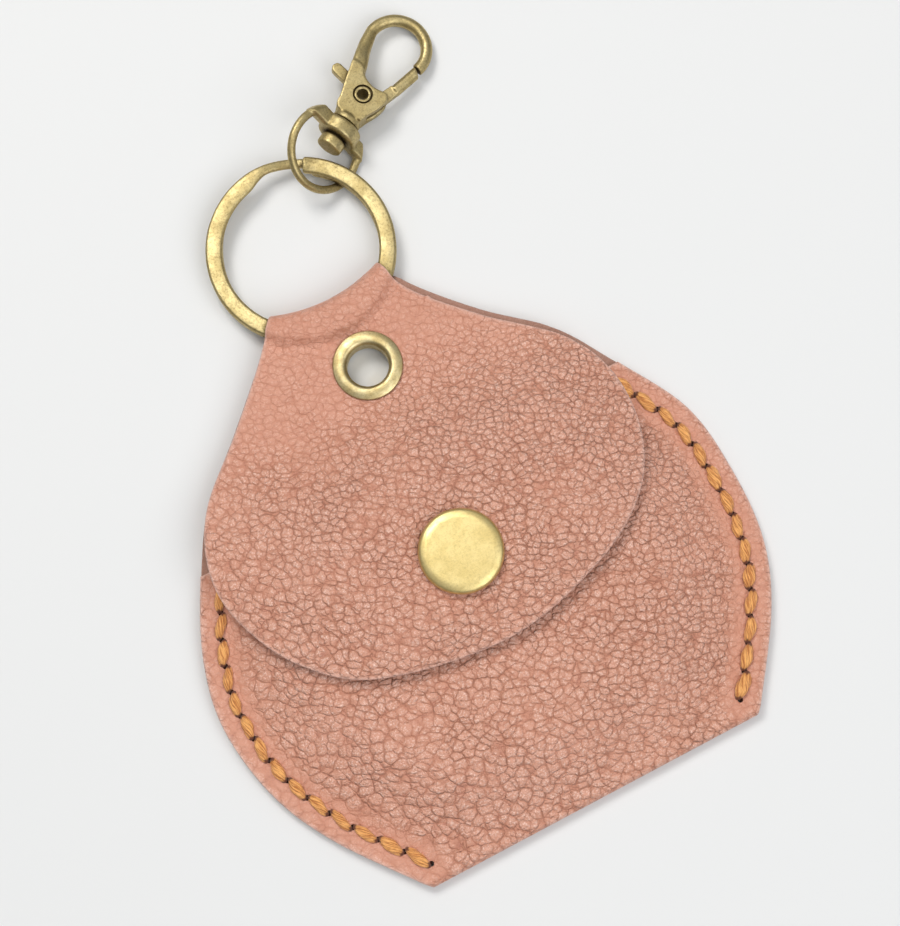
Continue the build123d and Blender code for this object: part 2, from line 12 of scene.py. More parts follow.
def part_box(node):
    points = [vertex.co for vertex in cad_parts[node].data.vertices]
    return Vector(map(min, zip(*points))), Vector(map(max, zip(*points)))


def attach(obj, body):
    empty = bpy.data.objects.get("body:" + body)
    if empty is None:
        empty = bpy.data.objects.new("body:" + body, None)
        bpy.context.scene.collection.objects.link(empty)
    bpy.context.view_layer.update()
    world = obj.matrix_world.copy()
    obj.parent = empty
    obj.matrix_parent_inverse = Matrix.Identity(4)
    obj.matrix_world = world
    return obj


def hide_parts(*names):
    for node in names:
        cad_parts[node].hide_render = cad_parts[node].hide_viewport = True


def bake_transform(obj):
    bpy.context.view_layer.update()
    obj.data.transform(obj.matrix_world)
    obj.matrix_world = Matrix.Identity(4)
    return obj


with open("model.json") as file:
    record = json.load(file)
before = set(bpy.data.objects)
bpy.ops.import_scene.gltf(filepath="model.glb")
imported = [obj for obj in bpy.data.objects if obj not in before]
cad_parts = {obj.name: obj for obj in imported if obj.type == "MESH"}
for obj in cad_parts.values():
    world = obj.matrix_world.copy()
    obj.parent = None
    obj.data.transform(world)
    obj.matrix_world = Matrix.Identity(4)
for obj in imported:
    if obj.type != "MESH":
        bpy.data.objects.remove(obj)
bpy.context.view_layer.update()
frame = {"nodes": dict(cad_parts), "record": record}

# Leather pick holder: pebbled leather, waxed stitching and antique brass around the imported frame.
# Lengths here are millimetres, and heights are measured from the flat back that the holder lies on.
MM = 0.001
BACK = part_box("back_panel")[0].z / MM  # height of the flat back in the frame
LEATHER = 1.1
SLIP = 0.02  # kept between two leather layers that touch

nodes = frame["nodes"]
scene = bpy.context.scene


def box_mm(*names):
    """Lowest and highest corner of some CAD nodes together, with heights from the flat back."""
    lows = np.array([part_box(name)[0] for name in names]) / MM
    highs = np.array([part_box(name)[1] for name in names]) / MM
    return lows.min(0) - (0, 0, BACK), highs.max(0) - (0, 0, BACK)


# ---------------- shared shapes
def eased(t):
    """0 below 0, 1 above 1, and smooth between."""
    t = np.clip(t, 0.0, 1.0)
    return t * t * (3 - 2 * t)


def smooth_line(points, step=0.5):
    """A Catmull-Rom curve through the points, sampled about every step."""
    points = np.array(points, float)
    padded = np.vstack([2 * points[0] - points[1], points, 2 * points[-1] - points[-2]])
    samples = []
    for a, b, c, d in zip(padded, padded[1:], padded[2:], padded[3:]):
        count = max(2, int(np.linalg.norm(c - b) / step))
        for t in np.arange(count) / count:
            square = (2 * a - 5 * b + 4 * c - d) * t**2
            cube = (3 * b - a - 3 * c + d) * t**3
            samples.append(0.5 * (2 * b + (c - a) * t + square + cube))
    samples.append(points[-1])
    return np.array(samples)


def distance_to_line(points, line):
    """Distance of each 2-D point from a polyline."""
    points = np.asarray(points, float)
    best = np.full(len(points), 1e9)
    for a, b in zip(line, line[1:]):
        along = b - a
        t = np.clip(((points - a) @ along) / max(along @ along, 1e-12), 0, 1)
        best = np.minimum(best, np.linalg.norm(points - a - t[:, None] * along, axis=1))
    return best


def new_mesh(name, points, faces):
    """A mesh object from points in millimetres, with its faces smooth."""
    mesh = bpy.data.meshes.new(name)
    places = np.array(points, float) + (0, 0, BACK)
    mesh.from_pydata((places * MM).tolist(), [], [list(face) for face in faces])
    mesh.validate()
    mesh.polygons.foreach_set("use_smooth", [True] * len(mesh.polygons))
    piece = bpy.data.objects.new(name, mesh)
    scene.collection.objects.link(piece)
    return piece


def grid_faces(rows, columns, closed=False, capped=False):
    """Quads of a grid of points stored row by row.

    A closed grid joins its last column to its first, and a capped one has a face over each end.
    """
    faces = []
    for i in range(rows - 1):
        for j in range(columns if closed else columns - 1):
            k = (j + 1) % columns
            faces.append((i * columns + j, i * columns + k, (i + 1) * columns + k, (i + 1) * columns + j))
    if capped:
        faces.append(tuple(range(columns))[::-1])
        faces.append(tuple((rows - 1) * columns + j for j in range(columns)))
    return faces


def store(piece, name, values):
    """Keeps a number, or a place, for each point of a piece, for its material to read."""
    values = np.asarray(values, np.float32)
    kind, field = ("FLOAT_VECTOR", "vector") if values.ndim == 2 else ("FLOAT", "value")
    attribute = piece.data.attributes.new(name, kind, "POINT")
    attribute.data.foreach_set(field, values.ravel())


def lathe(name, profile, centre, steps=96):
    """A round piece: (radius, height) points of its half section, turned about a vertical axis."""
    points = []
    for radius, height in profile:
        for i in range(steps):
            angle = 2 * pi * i / steps
            points.append((centre[0] + radius * cos(angle), centre[1] + radius * sin(angle), height))
    piece = new_mesh(name, points, grid_faces(len(profile), steps, closed=True))
    shape = bmesh.new()
    shape.from_mesh(piece.data)
    bmesh.ops.remove_doubles(shape, verts=shape.verts, dist=0.002 * MM)
    bmesh.ops.recalc_face_normals(shape, faces=shape.faces)
    shape.to_mesh(piece.data)
    shape.free()
    return piece


def rounded(corners, radius=0.12, steps=4):
    """The outline through the corners, as (radius, height) points, with each inner corner rounded."""
    corners = [np.array(corner, float) for corner in corners]
    points = [corners[0]]
    for before, corner, after in zip(corners, corners[1:], corners[2:]):
        first = before - corner
        second = after - corner
        reach = min(radius, np.linalg.norm(first) * 0.45, np.linalg.norm(second) * 0.45)
        start = corner + first / np.linalg.norm(first) * reach
        end = corner + second / np.linalg.norm(second) * reach
        for i in range(steps + 1):
            t = i / steps
            points.append((1 - t) ** 2 * start + 2 * t * (1 - t) * corner + t * t * end)
    points.append(corners[-1])
    return points


# ---------------- materials
class Shader:
    """A short way to write node trees: each call makes one node and returns its output."""

    def __init__(self, name):
        self.material = bpy.data.materials.new(name)
        self.material.use_nodes = True
        self.tree = self.material.node_tree
        self.principled = self.tree.nodes["Principled BSDF"]

    def node(self, kind, output=0, inputs=(), **settings):
        made = self.tree.nodes.new("ShaderNode" + kind)
        for key, value in settings.items():
            setattr(made, key, value)
        for key, value in dict(inputs).items():
            self.join(value, made.inputs[key])
        return made.outputs[output]

    def join(self, value, socket):
        if isinstance(value, bpy.types.NodeSocket):
            self.tree.links.new(value, socket)
        else:
            socket.default_value = value

    def math(self, operation, first, second=0.0, third=0.0, clamp=False):
        values = {0: first, 1: second, 2: third}
        return self.node("Math", 0, values, operation=operation, use_clamp=clamp)

    def times(self, first, second):
        return self.math("MULTIPLY", first, second)

    def times_plus(self, first, second, added):
        return self.math("MULTIPLY_ADD", first, second, added)

    def stored(self, name, output="Fac"):
        """What each point of the piece keeps under this name."""
        return self.node("Attribute", output, attribute_name=name)

    def ramp(self, value, low, high, to_low=0.0, to_high=1.0):
        values = {"Value": value, "From Min": low, "From Max": high, "To Min": to_low, "To Max": to_high}
        return self.node("MapRange", 0, values, interpolation_type="SMOOTHSTEP")

    def mix(self, factor, first, second):
        return self.node("Mix", 2, {0: factor, 6: first, 7: second}, data_type="RGBA")

    def noise(self, where, scale, detail=3.0, roughness=0.5, output="Fac"):
        values = {"Vector": where, "Scale": scale, "Detail": detail, "Roughness": roughness}
        return self.node("TexNoise", output, values)

    def cells(self, where, scale, feature="DISTANCE_TO_EDGE", randomness=1.0):
        values = {"Vector": where, "Scale": scale, "Randomness": randomness}
        return self.node("TexVoronoi", "Distance", values, feature=feature)

    def stretched(self, where, scale, turn=0.0):
        values = {"Vector": where, "Scale": scale, "Rotation": (0, 0, radians(turn))}
        return self.node("Mapping", 0, values)

    def warped(self, where, scale, amount, detail=2.0):
        """The place moved about by noise."""
        shift = self.noise(where, scale, detail, output="Color")
        centred = self.node("VectorMath", inputs={0: shift, 1: (0.5, 0.5, 0.5)}, operation="SUBTRACT")
        scaled = self.node("VectorMath", inputs={0: centred, "Scale": amount}, operation="SCALE")
        return self.node("VectorMath", inputs={0: where, 1: scaled}, operation="ADD")

    def bump(self, height, distance, strength=1.0):
        """Bump from a height of 0 to 1, which stands for this distance in metres."""
        return self.node("Bump", 0, {"Height": height, "Distance": distance, "Strength": strength})

    def finish(self, **sockets):
        for name, value in sockets.items():
            self.join(value, self.principled.inputs[name.replace("_", " ")])
        return self.material


FINER_FROM = (0.0, -40.0)  # where the grain has its own size, on the pocket
FINER = (0.0026, -0.0020)  # how it grows finer towards the right of the neck
PEBBLES_PER_MM = 0.76
PEBBLE_TURN = 27  # degrees that the pebbles' long side is turned


def sized_place(shader, where):
    """The place under the complex map z + FINER (z - FINER_FROM)^2, which does not shear a pattern."""
    axes = shader.tree.nodes.new("ShaderNodeSeparateXYZ")
    shader.join(where, axes.inputs[0])
    x, y, z = axes.outputs
    right = shader.math("SUBTRACT", x, FINER_FROM[0])
    ahead = shader.math("SUBTRACT", y, FINER_FROM[1])
    right_squared = shader.times(right, right)
    squares = shader.math("SUBTRACT", right_squared, shader.times(ahead, ahead))
    product = shader.times(shader.times(right, ahead), 2.0)
    new_x = shader.times_plus(product, -FINER[1], x)
    new_x = shader.times_plus(squares, FINER[0], new_x)
    new_y = shader.times_plus(squares, FINER[1], y)
    new_y = shader.times_plus(product, FINER[0], new_y)
    return shader.node("CombineXYZ", inputs={0: new_x, 1: new_y, 2: z})


def leather_grain(shader, where):
    """Pebbled grain: the height of each pebble, from 0 in its crease to 1, and the crease lines."""
    bent = shader.warped(sized_place(shader, where), 0.16, 1.8)
    bent = shader.warped(bent, 0.9, 0.75)
    turned = shader.stretched(bent, (1.0, 1.0, 1.0), PEBBLE_TURN)
    laid = shader.stretched(turned, (1.0, 1.22, 0.6))
    edge = shader.cells(laid, PEBBLES_PER_MM, randomness=0.92)
    middle = shader.cells(laid, PEBBLES_PER_MM, feature="F1", randomness=0.92)
    dome = shader.math("SUBTRACT", 1.0, shader.math("POWER", middle, 1.7), clamp=True)
    small = shader.cells(shader.warped(laid, 2.0, 0.3), 1.4, randomness=1.0)
    pebble = shader.times_plus(dome, 0.70, shader.ramp(edge, -0.02, 0.16, 0.0, 0.22))
    pebble = shader.times_plus(shader.ramp(small, 0.0, 0.22), 0.13, pebble)
    broken = shader.ramp(shader.noise(where, 0.6, 3.0), 0.42, 0.60, 0.15, 1.0)
    crease = shader.times(shader.ramp(edge, 0.0, 0.048, 1.0, 0.0), broken)
    return pebble, crease


HIDE_DEEP = (0.600, 0.250, 0.153, 1)
HIDE_PALE = (0.695, 0.320, 0.210, 1)
# painted shade: the low parts of the pebbles, near their creases, darkened where shade falls
HIDE_PAINTED_SHADE = (0.470, 0.165, 0.098, 1)  # low on the pebbles
# painted highlight on the high parts of the pebbles
HIDE_PAINTED_HIGHLIGHT = (0.88, 0.485, 0.360, 1)  # on top of the pebbles
# painted glints: small pale highlights on the pebbles
HIDE_PAINTED_GLINT = (0.96, 0.660, 0.540, 1)
HIDE_WRINKLE = (0.430, 0.165, 0.105, 1)
# painted shade in the thin creases between the pebbles
HIDE_CREASE_SHADE = (0.360, 0.110, 0.060, 1)  # between the pebbles
HIDE_WORN = (0.78, 0.500, 0.410, 1)  # along the cut edges


def leather_material():
    """Terracotta brown hide with a pebbled grain, a satin surface and painted light: painted shade low on
    the pebbles and in their thin creases, painted highlights where they are high, and small painted
    glints.
    """
    shader = Shader("leather_grain")
    where = shader.stored("rest", "Vector")
    rim = shader.stored("rim")
    calm = shader.stored("calm")
    pebble, crease = leather_grain(shader, where)
    pores = shader.noise(where, 3.4, 5.0, 0.75)
    wrinkle = shader.noise(shader.stretched(where, (0.5, 2.0, 1.0), -65), 1.3, 4.0, 0.6)
    patch = shader.noise(where, 0.07, 3.0)
    ahead = shader.node("SeparateXYZ", "Y", {0: where})
    depth = shader.ramp(shader.noise(where, 0.10, 2.0), 0.34, 0.60, 0.72, 1.0)
    depth = shader.times(depth, shader.ramp(ahead, -17.0, 3.0, 1.0, 0.38))
    depth = shader.times(depth, shader.ramp(calm, 0.0, 1.0, 1.0, 0.34))
    tone = shader.mix(patch, HIDE_DEEP, HIDE_PALE)
    # painted shade on the low parts of the pebbles
    shade = shader.times(shader.ramp(pebble, 0.14, 0.70, 0.30, 0.0), depth)
    tone = shader.mix(shade, tone, HIDE_PAINTED_SHADE)
    # painted highlight: the high parts of the pebbles lightened
    top_highlight = shader.times(shader.ramp(pebble, 0.40, 0.90), shader.times(depth, 0.26))
    tone = shader.mix(top_highlight, tone, HIDE_PAINTED_HIGHLIGHT)
    # painted glints where the pebbles are high and the pores noise peaks
    glints = shader.times(shader.ramp(pebble, 0.40, 0.90), shader.ramp(pores, 0.48, 0.64))
    glints = shader.times(glints, shader.ramp(depth, 0.2, 0.8, 0.20, 0.85))
    tone = shader.mix(glints, tone, HIDE_PAINTED_GLINT)
    tone = shader.mix(shader.ramp(wrinkle, 0.54, 0.72, 0.0, 0.30), tone, HIDE_WRINKLE)
    # painted shade along the crease lines between the pebbles
    lines = shader.times(crease, shader.times(depth, 0.62))
    tone = shader.mix(lines, tone, HIDE_CREASE_SHADE)
    tone = shader.mix(shader.times(rim, 0.8), tone, HIDE_WORN)
    height = shader.times_plus(wrinkle, 0.30, shader.times(pebble, depth))
    height = shader.times_plus(pores, 0.16, height)
    rough = shader.ramp(pores, 0.3, 0.7, 0.30, 0.48)
    return shader.finish(
        Base_Color=tone,
        Roughness=rough,
        Normal=shader.bump(height, 0.00060, 1.0),
        Specular_IOR_Level=0.6,
        Sheen_Weight=0.10,
        Sheen_Roughness=0.5,
    )


def edge_material():
    """The cut edge: pale pinkish fibres mixed with darker brown ones."""
    shader = Shader("leather_cut_edge")
    where = shader.stored("rest", "Vector")
    fibre = shader.noise(shader.stretched(where, (1.0, 1.0, 3.5)), 2.6, 5.0, 0.7)
    tone = shader.mix(fibre, (0.34, 0.150, 0.110, 1), (0.66, 0.400, 0.320, 1))
    return shader.finish(Base_Color=tone, Roughness=0.85, Normal=shader.bump(fibre, 0.0002, 0.8))


def flesh_material():
    """The inner side of the hide: short suede nap."""
    shader = Shader("leather_flesh_side")
    where = shader.stored("rest", "Vector")
    nap = shader.noise(where, 3.2, 6.0, 0.75)
    clouds = shader.noise(where, 0.25, 3.0)
    tone = shader.mix(clouds, (0.36, 0.175, 0.120, 1), (0.47, 0.250, 0.180, 1))
    tone = shader.mix(shader.ramp(nap, 0.4, 0.65, 0.0, 0.5), tone, (0.56, 0.345, 0.265, 1))
    return shader.finish(
        Base_Color=tone, Roughness=0.95, Normal=shader.bump(nap, 0.0003, 0.9), Sheen_Weight=0.3
    )


def thread_material():
    """Flat waxed thread: orange-tan filaments, with painted shade, dark brown, towards its ends, where it
    dives into its holes, and in the grooves between its plies.
    """
    shader = Shader("waxed_thread")
    thread_shade = shader.stored("thread_shade")
    where = shader.stored("filament", "Vector")
    strand = shader.noise(shader.stretched(where, (0.35, 5.0, 1.0)), 1.6, 4.0, 0.7)
    fuzz = shader.noise(where, 3.0, 3.0, 0.7)
    tone = shader.mix(shader.ramp(strand, 0.36, 0.64), (0.46, 0.130, 0.020, 1), (1.0, 0.500, 0.150, 1))
    ends = shader.math("ADD", thread_shade, shader.times_plus(fuzz, 0.5, -0.25), clamp=True)
    # painted shade: dark brown on the ends and between the plies
    tone = shader.mix(shader.ramp(ends, 0.35, 0.75), tone, (0.175, 0.046, 0.013, 1))
    return shader.finish(
        Base_Color=tone, Roughness=0.55, Normal=shader.bump(strand, 0.00020, 1.0), Sheen_Weight=0.2
    )


def brass_material(name, bright, mid, dark, patina, scratch_turn=20.0, roughness=(0.34, 0.46)):
    """Antique brass: brushed bright metal with brown patina left in patches, darkened where ambient
    occlusion finds close geometry: patina in its own hollows, and painted shade where other parts and the
    leather come near.
    """
    shader = Shader(name)
    where = shader.node("TexCoord", "Object")
    places = shader.node("VectorMath", inputs={0: where, "Scale": 1 / MM}, operation="SCALE")
    clouds = shader.noise(places, 0.5, 4.0, 0.6)
    specks = shader.noise(places, 3.2, 5.0, 0.75)
    brushing = shader.noise(shader.stretched(places, (0.9, 12.0, 3.0), scratch_turn), 1.0, 3.0, 0.6)
    # ambient occlusion darkens the metal near any close geometry: patina in its own hollows, and painted
    # shade where other parts and the leather come near
    hidden = shader.node("AmbientOcclusion", "AO", {"Distance": 1.2 * MM}, samples=8)
    recess_patina_and_shade = shader.ramp(hidden, 0.35, 0.95, 0.95, 0.0)
    metal = shader.mix(shader.ramp(clouds, 0.34, 0.66), mid, bright)
    metal = shader.mix(shader.ramp(brushing, 0.45, 0.75, 0.0, 0.35), metal, mid)
    spots = shader.times(shader.ramp(specks, 0.44, 0.70), patina)
    patina_and_shade = shader.math("ADD", spots, recess_patina_and_shade, clamp=True)
    metal = shader.mix(patina_and_shade, metal, dark)
    rough = shader.ramp(clouds, 0.3, 0.7, roughness[1], roughness[0])
    rough = shader.times_plus(patina_and_shade, 0.25, rough)
    relief = shader.times_plus(specks, 0.5, brushing)
    return shader.finish(
        Base_Color=metal, Metallic=1.0, Roughness=rough, Normal=shader.bump(relief, 0.00003, 0.7)
    )


def steel_material():
    """Bare spring wire."""
    shader = Shader("spring_wire")
    where = shader.node("TexCoord", output="Object")
    drawn = shader.noise(shader.stretched(where, (200.0, 4000.0, 4000.0)), 1.0, 3.0)
    tone = shader.mix(drawn, (0.38, 0.37, 0.35, 1), (0.62, 0.61, 0.58, 1))
    return shader.finish(Base_Color=tone, Metallic=1.0, Roughness=0.32)


LEATHER_SKIN = leather_material()
LEATHER_EDGE = edge_material()
LEATHER_FLESH = flesh_material()
THREAD = thread_material()
ANTIQUE = brass_material(
    "antique_brass",
    bright=(0.56, 0.455, 0.225, 1),
    mid=(0.46, 0.36, 0.160, 1),
    dark=(0.085, 0.056, 0.024, 1),
    patina=0.50,
    roughness=(0.36, 0.48),
)
EYELET_BRASS = brass_material(
    "eyelet_brass",
    bright=(0.66, 0.55, 0.30, 1),
    mid=(0.50, 0.385, 0.175, 1),
    dark=(0.10, 0.062, 0.022, 1),
    patina=0.30,
)
CAP_BRASS = brass_material(
    "cap_brass",
    bright=(0.78, 0.625, 0.28, 1),
    mid=(0.68, 0.53, 0.22, 1),
    dark=(0.30, 0.22, 0.08, 1),
    patina=0.30,
    scratch_turn=-30.0,
    roughness=(0.36, 0.48),
)
STEEL = steel_material()

# ---------------- leather: outlines and heights
LEFT_EDGE = [
    (-9.4, 13.3), (-13.8, 8.0), (-21.9, 0.0), (-30.4, -8.0), (-35.6, -16.5),
    (-40.2, -26.5), (-42.1, -36.5), (-40.3, -48.0), (-35.4, -58.0), (-26.0, -70.3),
]
RIGHT_EDGE = [
    (8.2, 13.5), (11.4, 8.0), (18.6, 0.0), (27.5, -8.0), (33.0, -16.5),
    (38.4, -26.5), (39.8, -36.5), (39.1, -48.0), (35.1, -58.0), (26.4, -70.3),
]
FLAP_EDGE = [
    (-9.4, 13.3), (-13.6, 8.0), (-21.6, 0.0), (-30.1, -8.0), (-33.7, -16.4), (-33.3, -24.5),
    (-28.4, -34.1), (-19.0, -41.3), (-0.3, -44.6), (15.9, -40.9), (25.9, -34.6),
    (30.4, -26.5), (30.7, -17.5), (27.0, -9.0), (18.1, -0.8), (10.6, 7.4), (8.2, 13.5),
]
NECK_FOLD = 13.3  # y where the neck is folded over the ring, at its left side
LOOP_LINE = 5.3  # where the neck's front sheet ends and the loop begins
FLAP_LINE = -5.9  # where the flap bends open
MOUTH_LINE = -16.0  # the pocket's mouth
FOLD_LINE = -69.2  # where the fold at the bottom begins
FOLD_SAG = 1.7  # how far the middle of the neck's fold dips
NECK_TOP = box_mm("neck_front")[1][2]
NECK_BOTTOM = box_mm("neck_back")[0][2]
NECK_MIDDLE = (NECK_TOP + NECK_BOTTOM) / 2
MARGIN_TOP = 2 * LEATHER
BULGE_TOP = box_mm("pocket_front")[1][2]
loop_low, loop_high = box_mm("neck_loop")
LOOP_LIFT = (loop_high[2] - loop_low[2]) / 2 - (NECK_TOP - NECK_MIDDLE)

left_line = smooth_line(LEFT_EDGE)
right_line = smooth_line(RIGHT_EDGE)
flap_line = smooth_line(FLAP_EDGE)

ring_low, ring_high = box_mm("key_ring")
RING_CENTRE = ((ring_low + ring_high) / 2)[:2]
RING_R = (ring_high[0] - ring_low[0]) / 2
cap_low, cap_high = box_mm("snap_cap")
CAP_CENTRE = ((cap_low + cap_high) / 2)[:2]
CAP_R = (cap_high[0] - cap_low[0]) / 2
CAP_TOP = cap_high[2]
eyelet_low, eyelet_high = box_mm("eyelet_barrel")
EYELET_FLANGE_R = eyelet_high[0]
HOLE_R = frame["record"]["mounts"][0]["dims"]["r_mm"]


def left_at(y):
    return np.interp(y, left_line[::-1, 1], left_line[::-1, 0])


def right_at(y):
    return np.interp(y, right_line[::-1, 1], right_line[::-1, 0])


def front_edge_at(y, side):
    """x of the front layer's edge in the neck, on the left (-1) or the right (1)."""
    branch = flap_line[(flap_line[:, 0] * side > 0) & (flap_line[:, 1] > -8)]
    branch = branch[np.argsort(branch[:, 1])]
    return np.interp(y, branch[:, 1], branch[:, 0])


def wander(x, y, size, seed):
    """Gentle noise, about -1 to 1, that changes over about size millimetres."""
    return np.array([noise.noise(Vector((a / size, b / size, seed))) for a, b in zip(x, y)])


def seam_holes(line, side, inset=3.0, end=1.6, pitch=4.1, count=15):
    """Hole centres of one seam, from the bottom corner up. side is 1 on the left and -1 on the right."""
    steps = np.linalg.norm(np.diff(line, axis=0), axis=1)
    travelled = np.concatenate([[0], np.cumsum(steps)])
    holes = []
    for i in range(count):
        place = travelled[-1] - end - i * pitch
        here = np.array([np.interp(place, travelled, line[:, k]) for k in (0, 1)])
        ahead = np.array([np.interp(place + 0.1, travelled, line[:, k]) for k in (0, 1)])
        along = (ahead - here) / np.linalg.norm(ahead - here)
        holes.append(here + np.array([-along[1], along[0]]) * side * inset)
    return np.array(holes)


left_holes = seam_holes(left_line, 1)
right_holes = seam_holes(right_line, -1)


GROOVE = (0.16, 1.1)  # depth and half width of the groove along a seam
DIMPLE = (0.30, 0.75)  # depth and radius of the dimple at each hole
MARGIN_WIDTH = 3.4  # flat and sewn, from the edge to where the pocket rises


def seam_sink(x, y):
    """How far the thread pulls the leather in, along the seams and at their holes."""
    points = np.column_stack([x, y])
    sink = np.zeros(len(points))
    for holes in (left_holes, right_holes):
        sink += GROOVE[0] * np.exp(-((distance_to_line(points, holes) / GROOVE[1]) ** 2))
        for hole in holes:
            sink += DIMPLE[0] * np.exp(-(np.hypot(x - hole[0], y - hole[1]) / DIMPLE[1]) ** 2)
    return sink


def seam_calm(x, y):
    """1 along the seams, where the grain is pressed flat, falling to 0 away from them."""
    points = np.column_stack([x, y])
    nearest = np.minimum(distance_to_line(points, left_holes), distance_to_line(points, right_holes))
    return 1 - eased((nearest - 0.9) / 3.4)


def pocket_height(x, y):
    """Outer side of the pocket's front: a flat sewn margin, and a dome between the seams and the fold."""
    points = np.column_stack([x, y])
    side = np.minimum(distance_to_line(points, left_line), distance_to_line(points, right_line))
    rise = eased((side - MARGIN_WIDTH) / 13.5) * eased((y - FOLD_LINE + 1.0) / 13.0)
    waves = 0.22 * wander(x, y, 11.0, 3.1) * eased((side - 4.0) / 6.0)
    return MARGIN_TOP + (BULGE_TOP - MARGIN_TOP - 0.15) * rise + waves * rise


FLAP_STATIONS = [  # y, height on the centre line and droop to the sides
    (2.0, 3.65, 0.0), (-5.0, 3.72, 0.0), (-9.0, 5.0, 0.0006), (-16.0, 8.25, 0.0020), (-25.0, 9.95, 0.0034),
    (-36.6, 9.95, 0.0032), (-45.5, 7.9, 0.0012),
]
station_line = smooth_line(FLAP_STATIONS)


def ring_ridge(x, y):
    """0 to 1: how far the leather is lifted by the key ring inside the loop."""
    return eased((RING_R + 0.95 - np.hypot(x - RING_CENTRE[0], y - RING_CENTRE[1])) / 1.7)


def front_height(x, y):
    """Outer side of the neck's front and the flap."""
    middle = np.interp(-y, -station_line[:, 0], station_line[:, 1])
    droop = np.interp(-y, -station_line[:, 0], station_line[:, 2])
    height = middle - droop * (x + 1.0) ** 2
    height += LOOP_LIFT * ring_ridge(x, y)
    # pressed in by the snap cap and the eyelet, with small pleats above the eyelet
    from_cap = np.hypot(x - CAP_CENTRE[0], y - CAP_CENTRE[1])
    height -= 0.28 * eased((CAP_R + 2.2 - from_cap) / 2.6)
    from_eyelet = np.hypot(x, y)
    height -= 0.10 * eased((EYELET_FLANGE_R + 1.6 - from_eyelet) / 1.8)
    angle = np.arctan2(y, x)
    pleats = np.cos(angle * 11 + 2.0 * wander(x, y, 6.0, 8.0)) * eased((y - 0.5) / 3.0)
    height += 0.10 * pleats * np.exp(-(((from_eyelet - EYELET_FLANGE_R - 1.1) / 1.3) ** 2))
    # gentle waves on the part that opens, away from the snap
    open_part = eased((-FLAP_LINE - 9.0 - y) / 14.0)
    height += 0.30 * wander(x, y, 13.0, 0.7) * open_part * eased((from_cap - CAP_R) / 5.0)
    return height


# ---------------- leather: pieces
# Each sheet is cut flat, as an even net of triangles, and place() then puts its flat points in space.
EDGE_ROUND = 0.32  # radius of the rounded rim of a cut edge
RIM_STEPS = (0.09, 0.20, 0.36)  # distances of the extra rows along a cut edge
RIM_WORN = 0.50  # width of the paler, worn rim along a cut edge
NEEDLE_HOLE_R = 0.42
NEEDLE_HOLE_POINTS = 12  # a hole with no more points than this is a needle hole
SKIN, EDGE, FLESH = 0, 1, 2  # the sheet's material slots
SPACING = 0.62  # of the net of triangles on the flap and the pouch
ROW_STEP = 0.86 * SPACING


def inside(points, border):
    """Which points lie inside a closed border."""
    x, y = points[:, 0], points[:, 1]
    within = np.zeros(len(points), bool)
    for a, b in zip(border, np.roll(border, -1, axis=0)):
        if a[1] == b[1]:
            continue
        crosses = (a[1] > y) != (b[1] > y)
        within ^= crosses & (x < (b[0] - a[0]) * (y - a[1]) / (b[1] - a[1]) + a[0])
    return within


def in_leather(points, border, holes):
    """Which points lie inside the border and outside the holes."""
    within = inside(points, border)
    for hole in holes:
        within &= ~inside(points, hole)
    return within


def evenly(line, step):
    """The same polyline with points about every step."""
    line = np.asarray(line, float)
    travelled = np.concatenate([[0], np.cumsum(np.linalg.norm(np.diff(line, axis=0), axis=1))])
    places = np.linspace(0, travelled[-1], max(2, int(travelled[-1] / step) + 1))
    return np.column_stack([np.interp(places, travelled, line[:, k]) for k in (0, 1)])


def circle(centre, radius, step):
    """A closed round hole, clockwise."""
    count = max(10, int(2 * pi * radius / step))
    angles = -np.arange(count) * 2 * pi / count
    return np.column_stack([centre[0] + radius * np.cos(angles), centre[1] + radius * np.sin(angles)])


def inset(loop, distance):
    """A closed loop moved to its left, into the leather."""
    along = np.roll(loop, -1, axis=0) - np.roll(loop, 1, axis=0)
    along /= np.linalg.norm(along, axis=1)[:, None]
    return loop + np.column_stack([-along[:, 1], along[:, 0]]) * distance


def close(loop):
    """A loop with its first point again at its end."""
    return np.vstack([loop, loop[:1]])


def joined(*lines):
    """Several lines, end to end, as one loop without doubled points."""
    return np.vstack([line[:-1] for line in lines])


def strip_border(left_x, right_x, vs, step):
    """The border of a sheet between its left and right edges, and the edges, with points every step."""
    left = evenly(np.column_stack([left_x, vs]), step)
    right = evenly(np.column_stack([right_x, vs]), step)
    bottom = evenly([left[0], right[0]], step)
    top = evenly([right[-1], left[-1]], step)
    return joined(bottom, right, top, left[::-1]), left, right


def levels(*parts):
    """Row positions from (from, to, step) stretches."""
    return np.concatenate([np.arange(first, last, step) for first, last, step in parts])


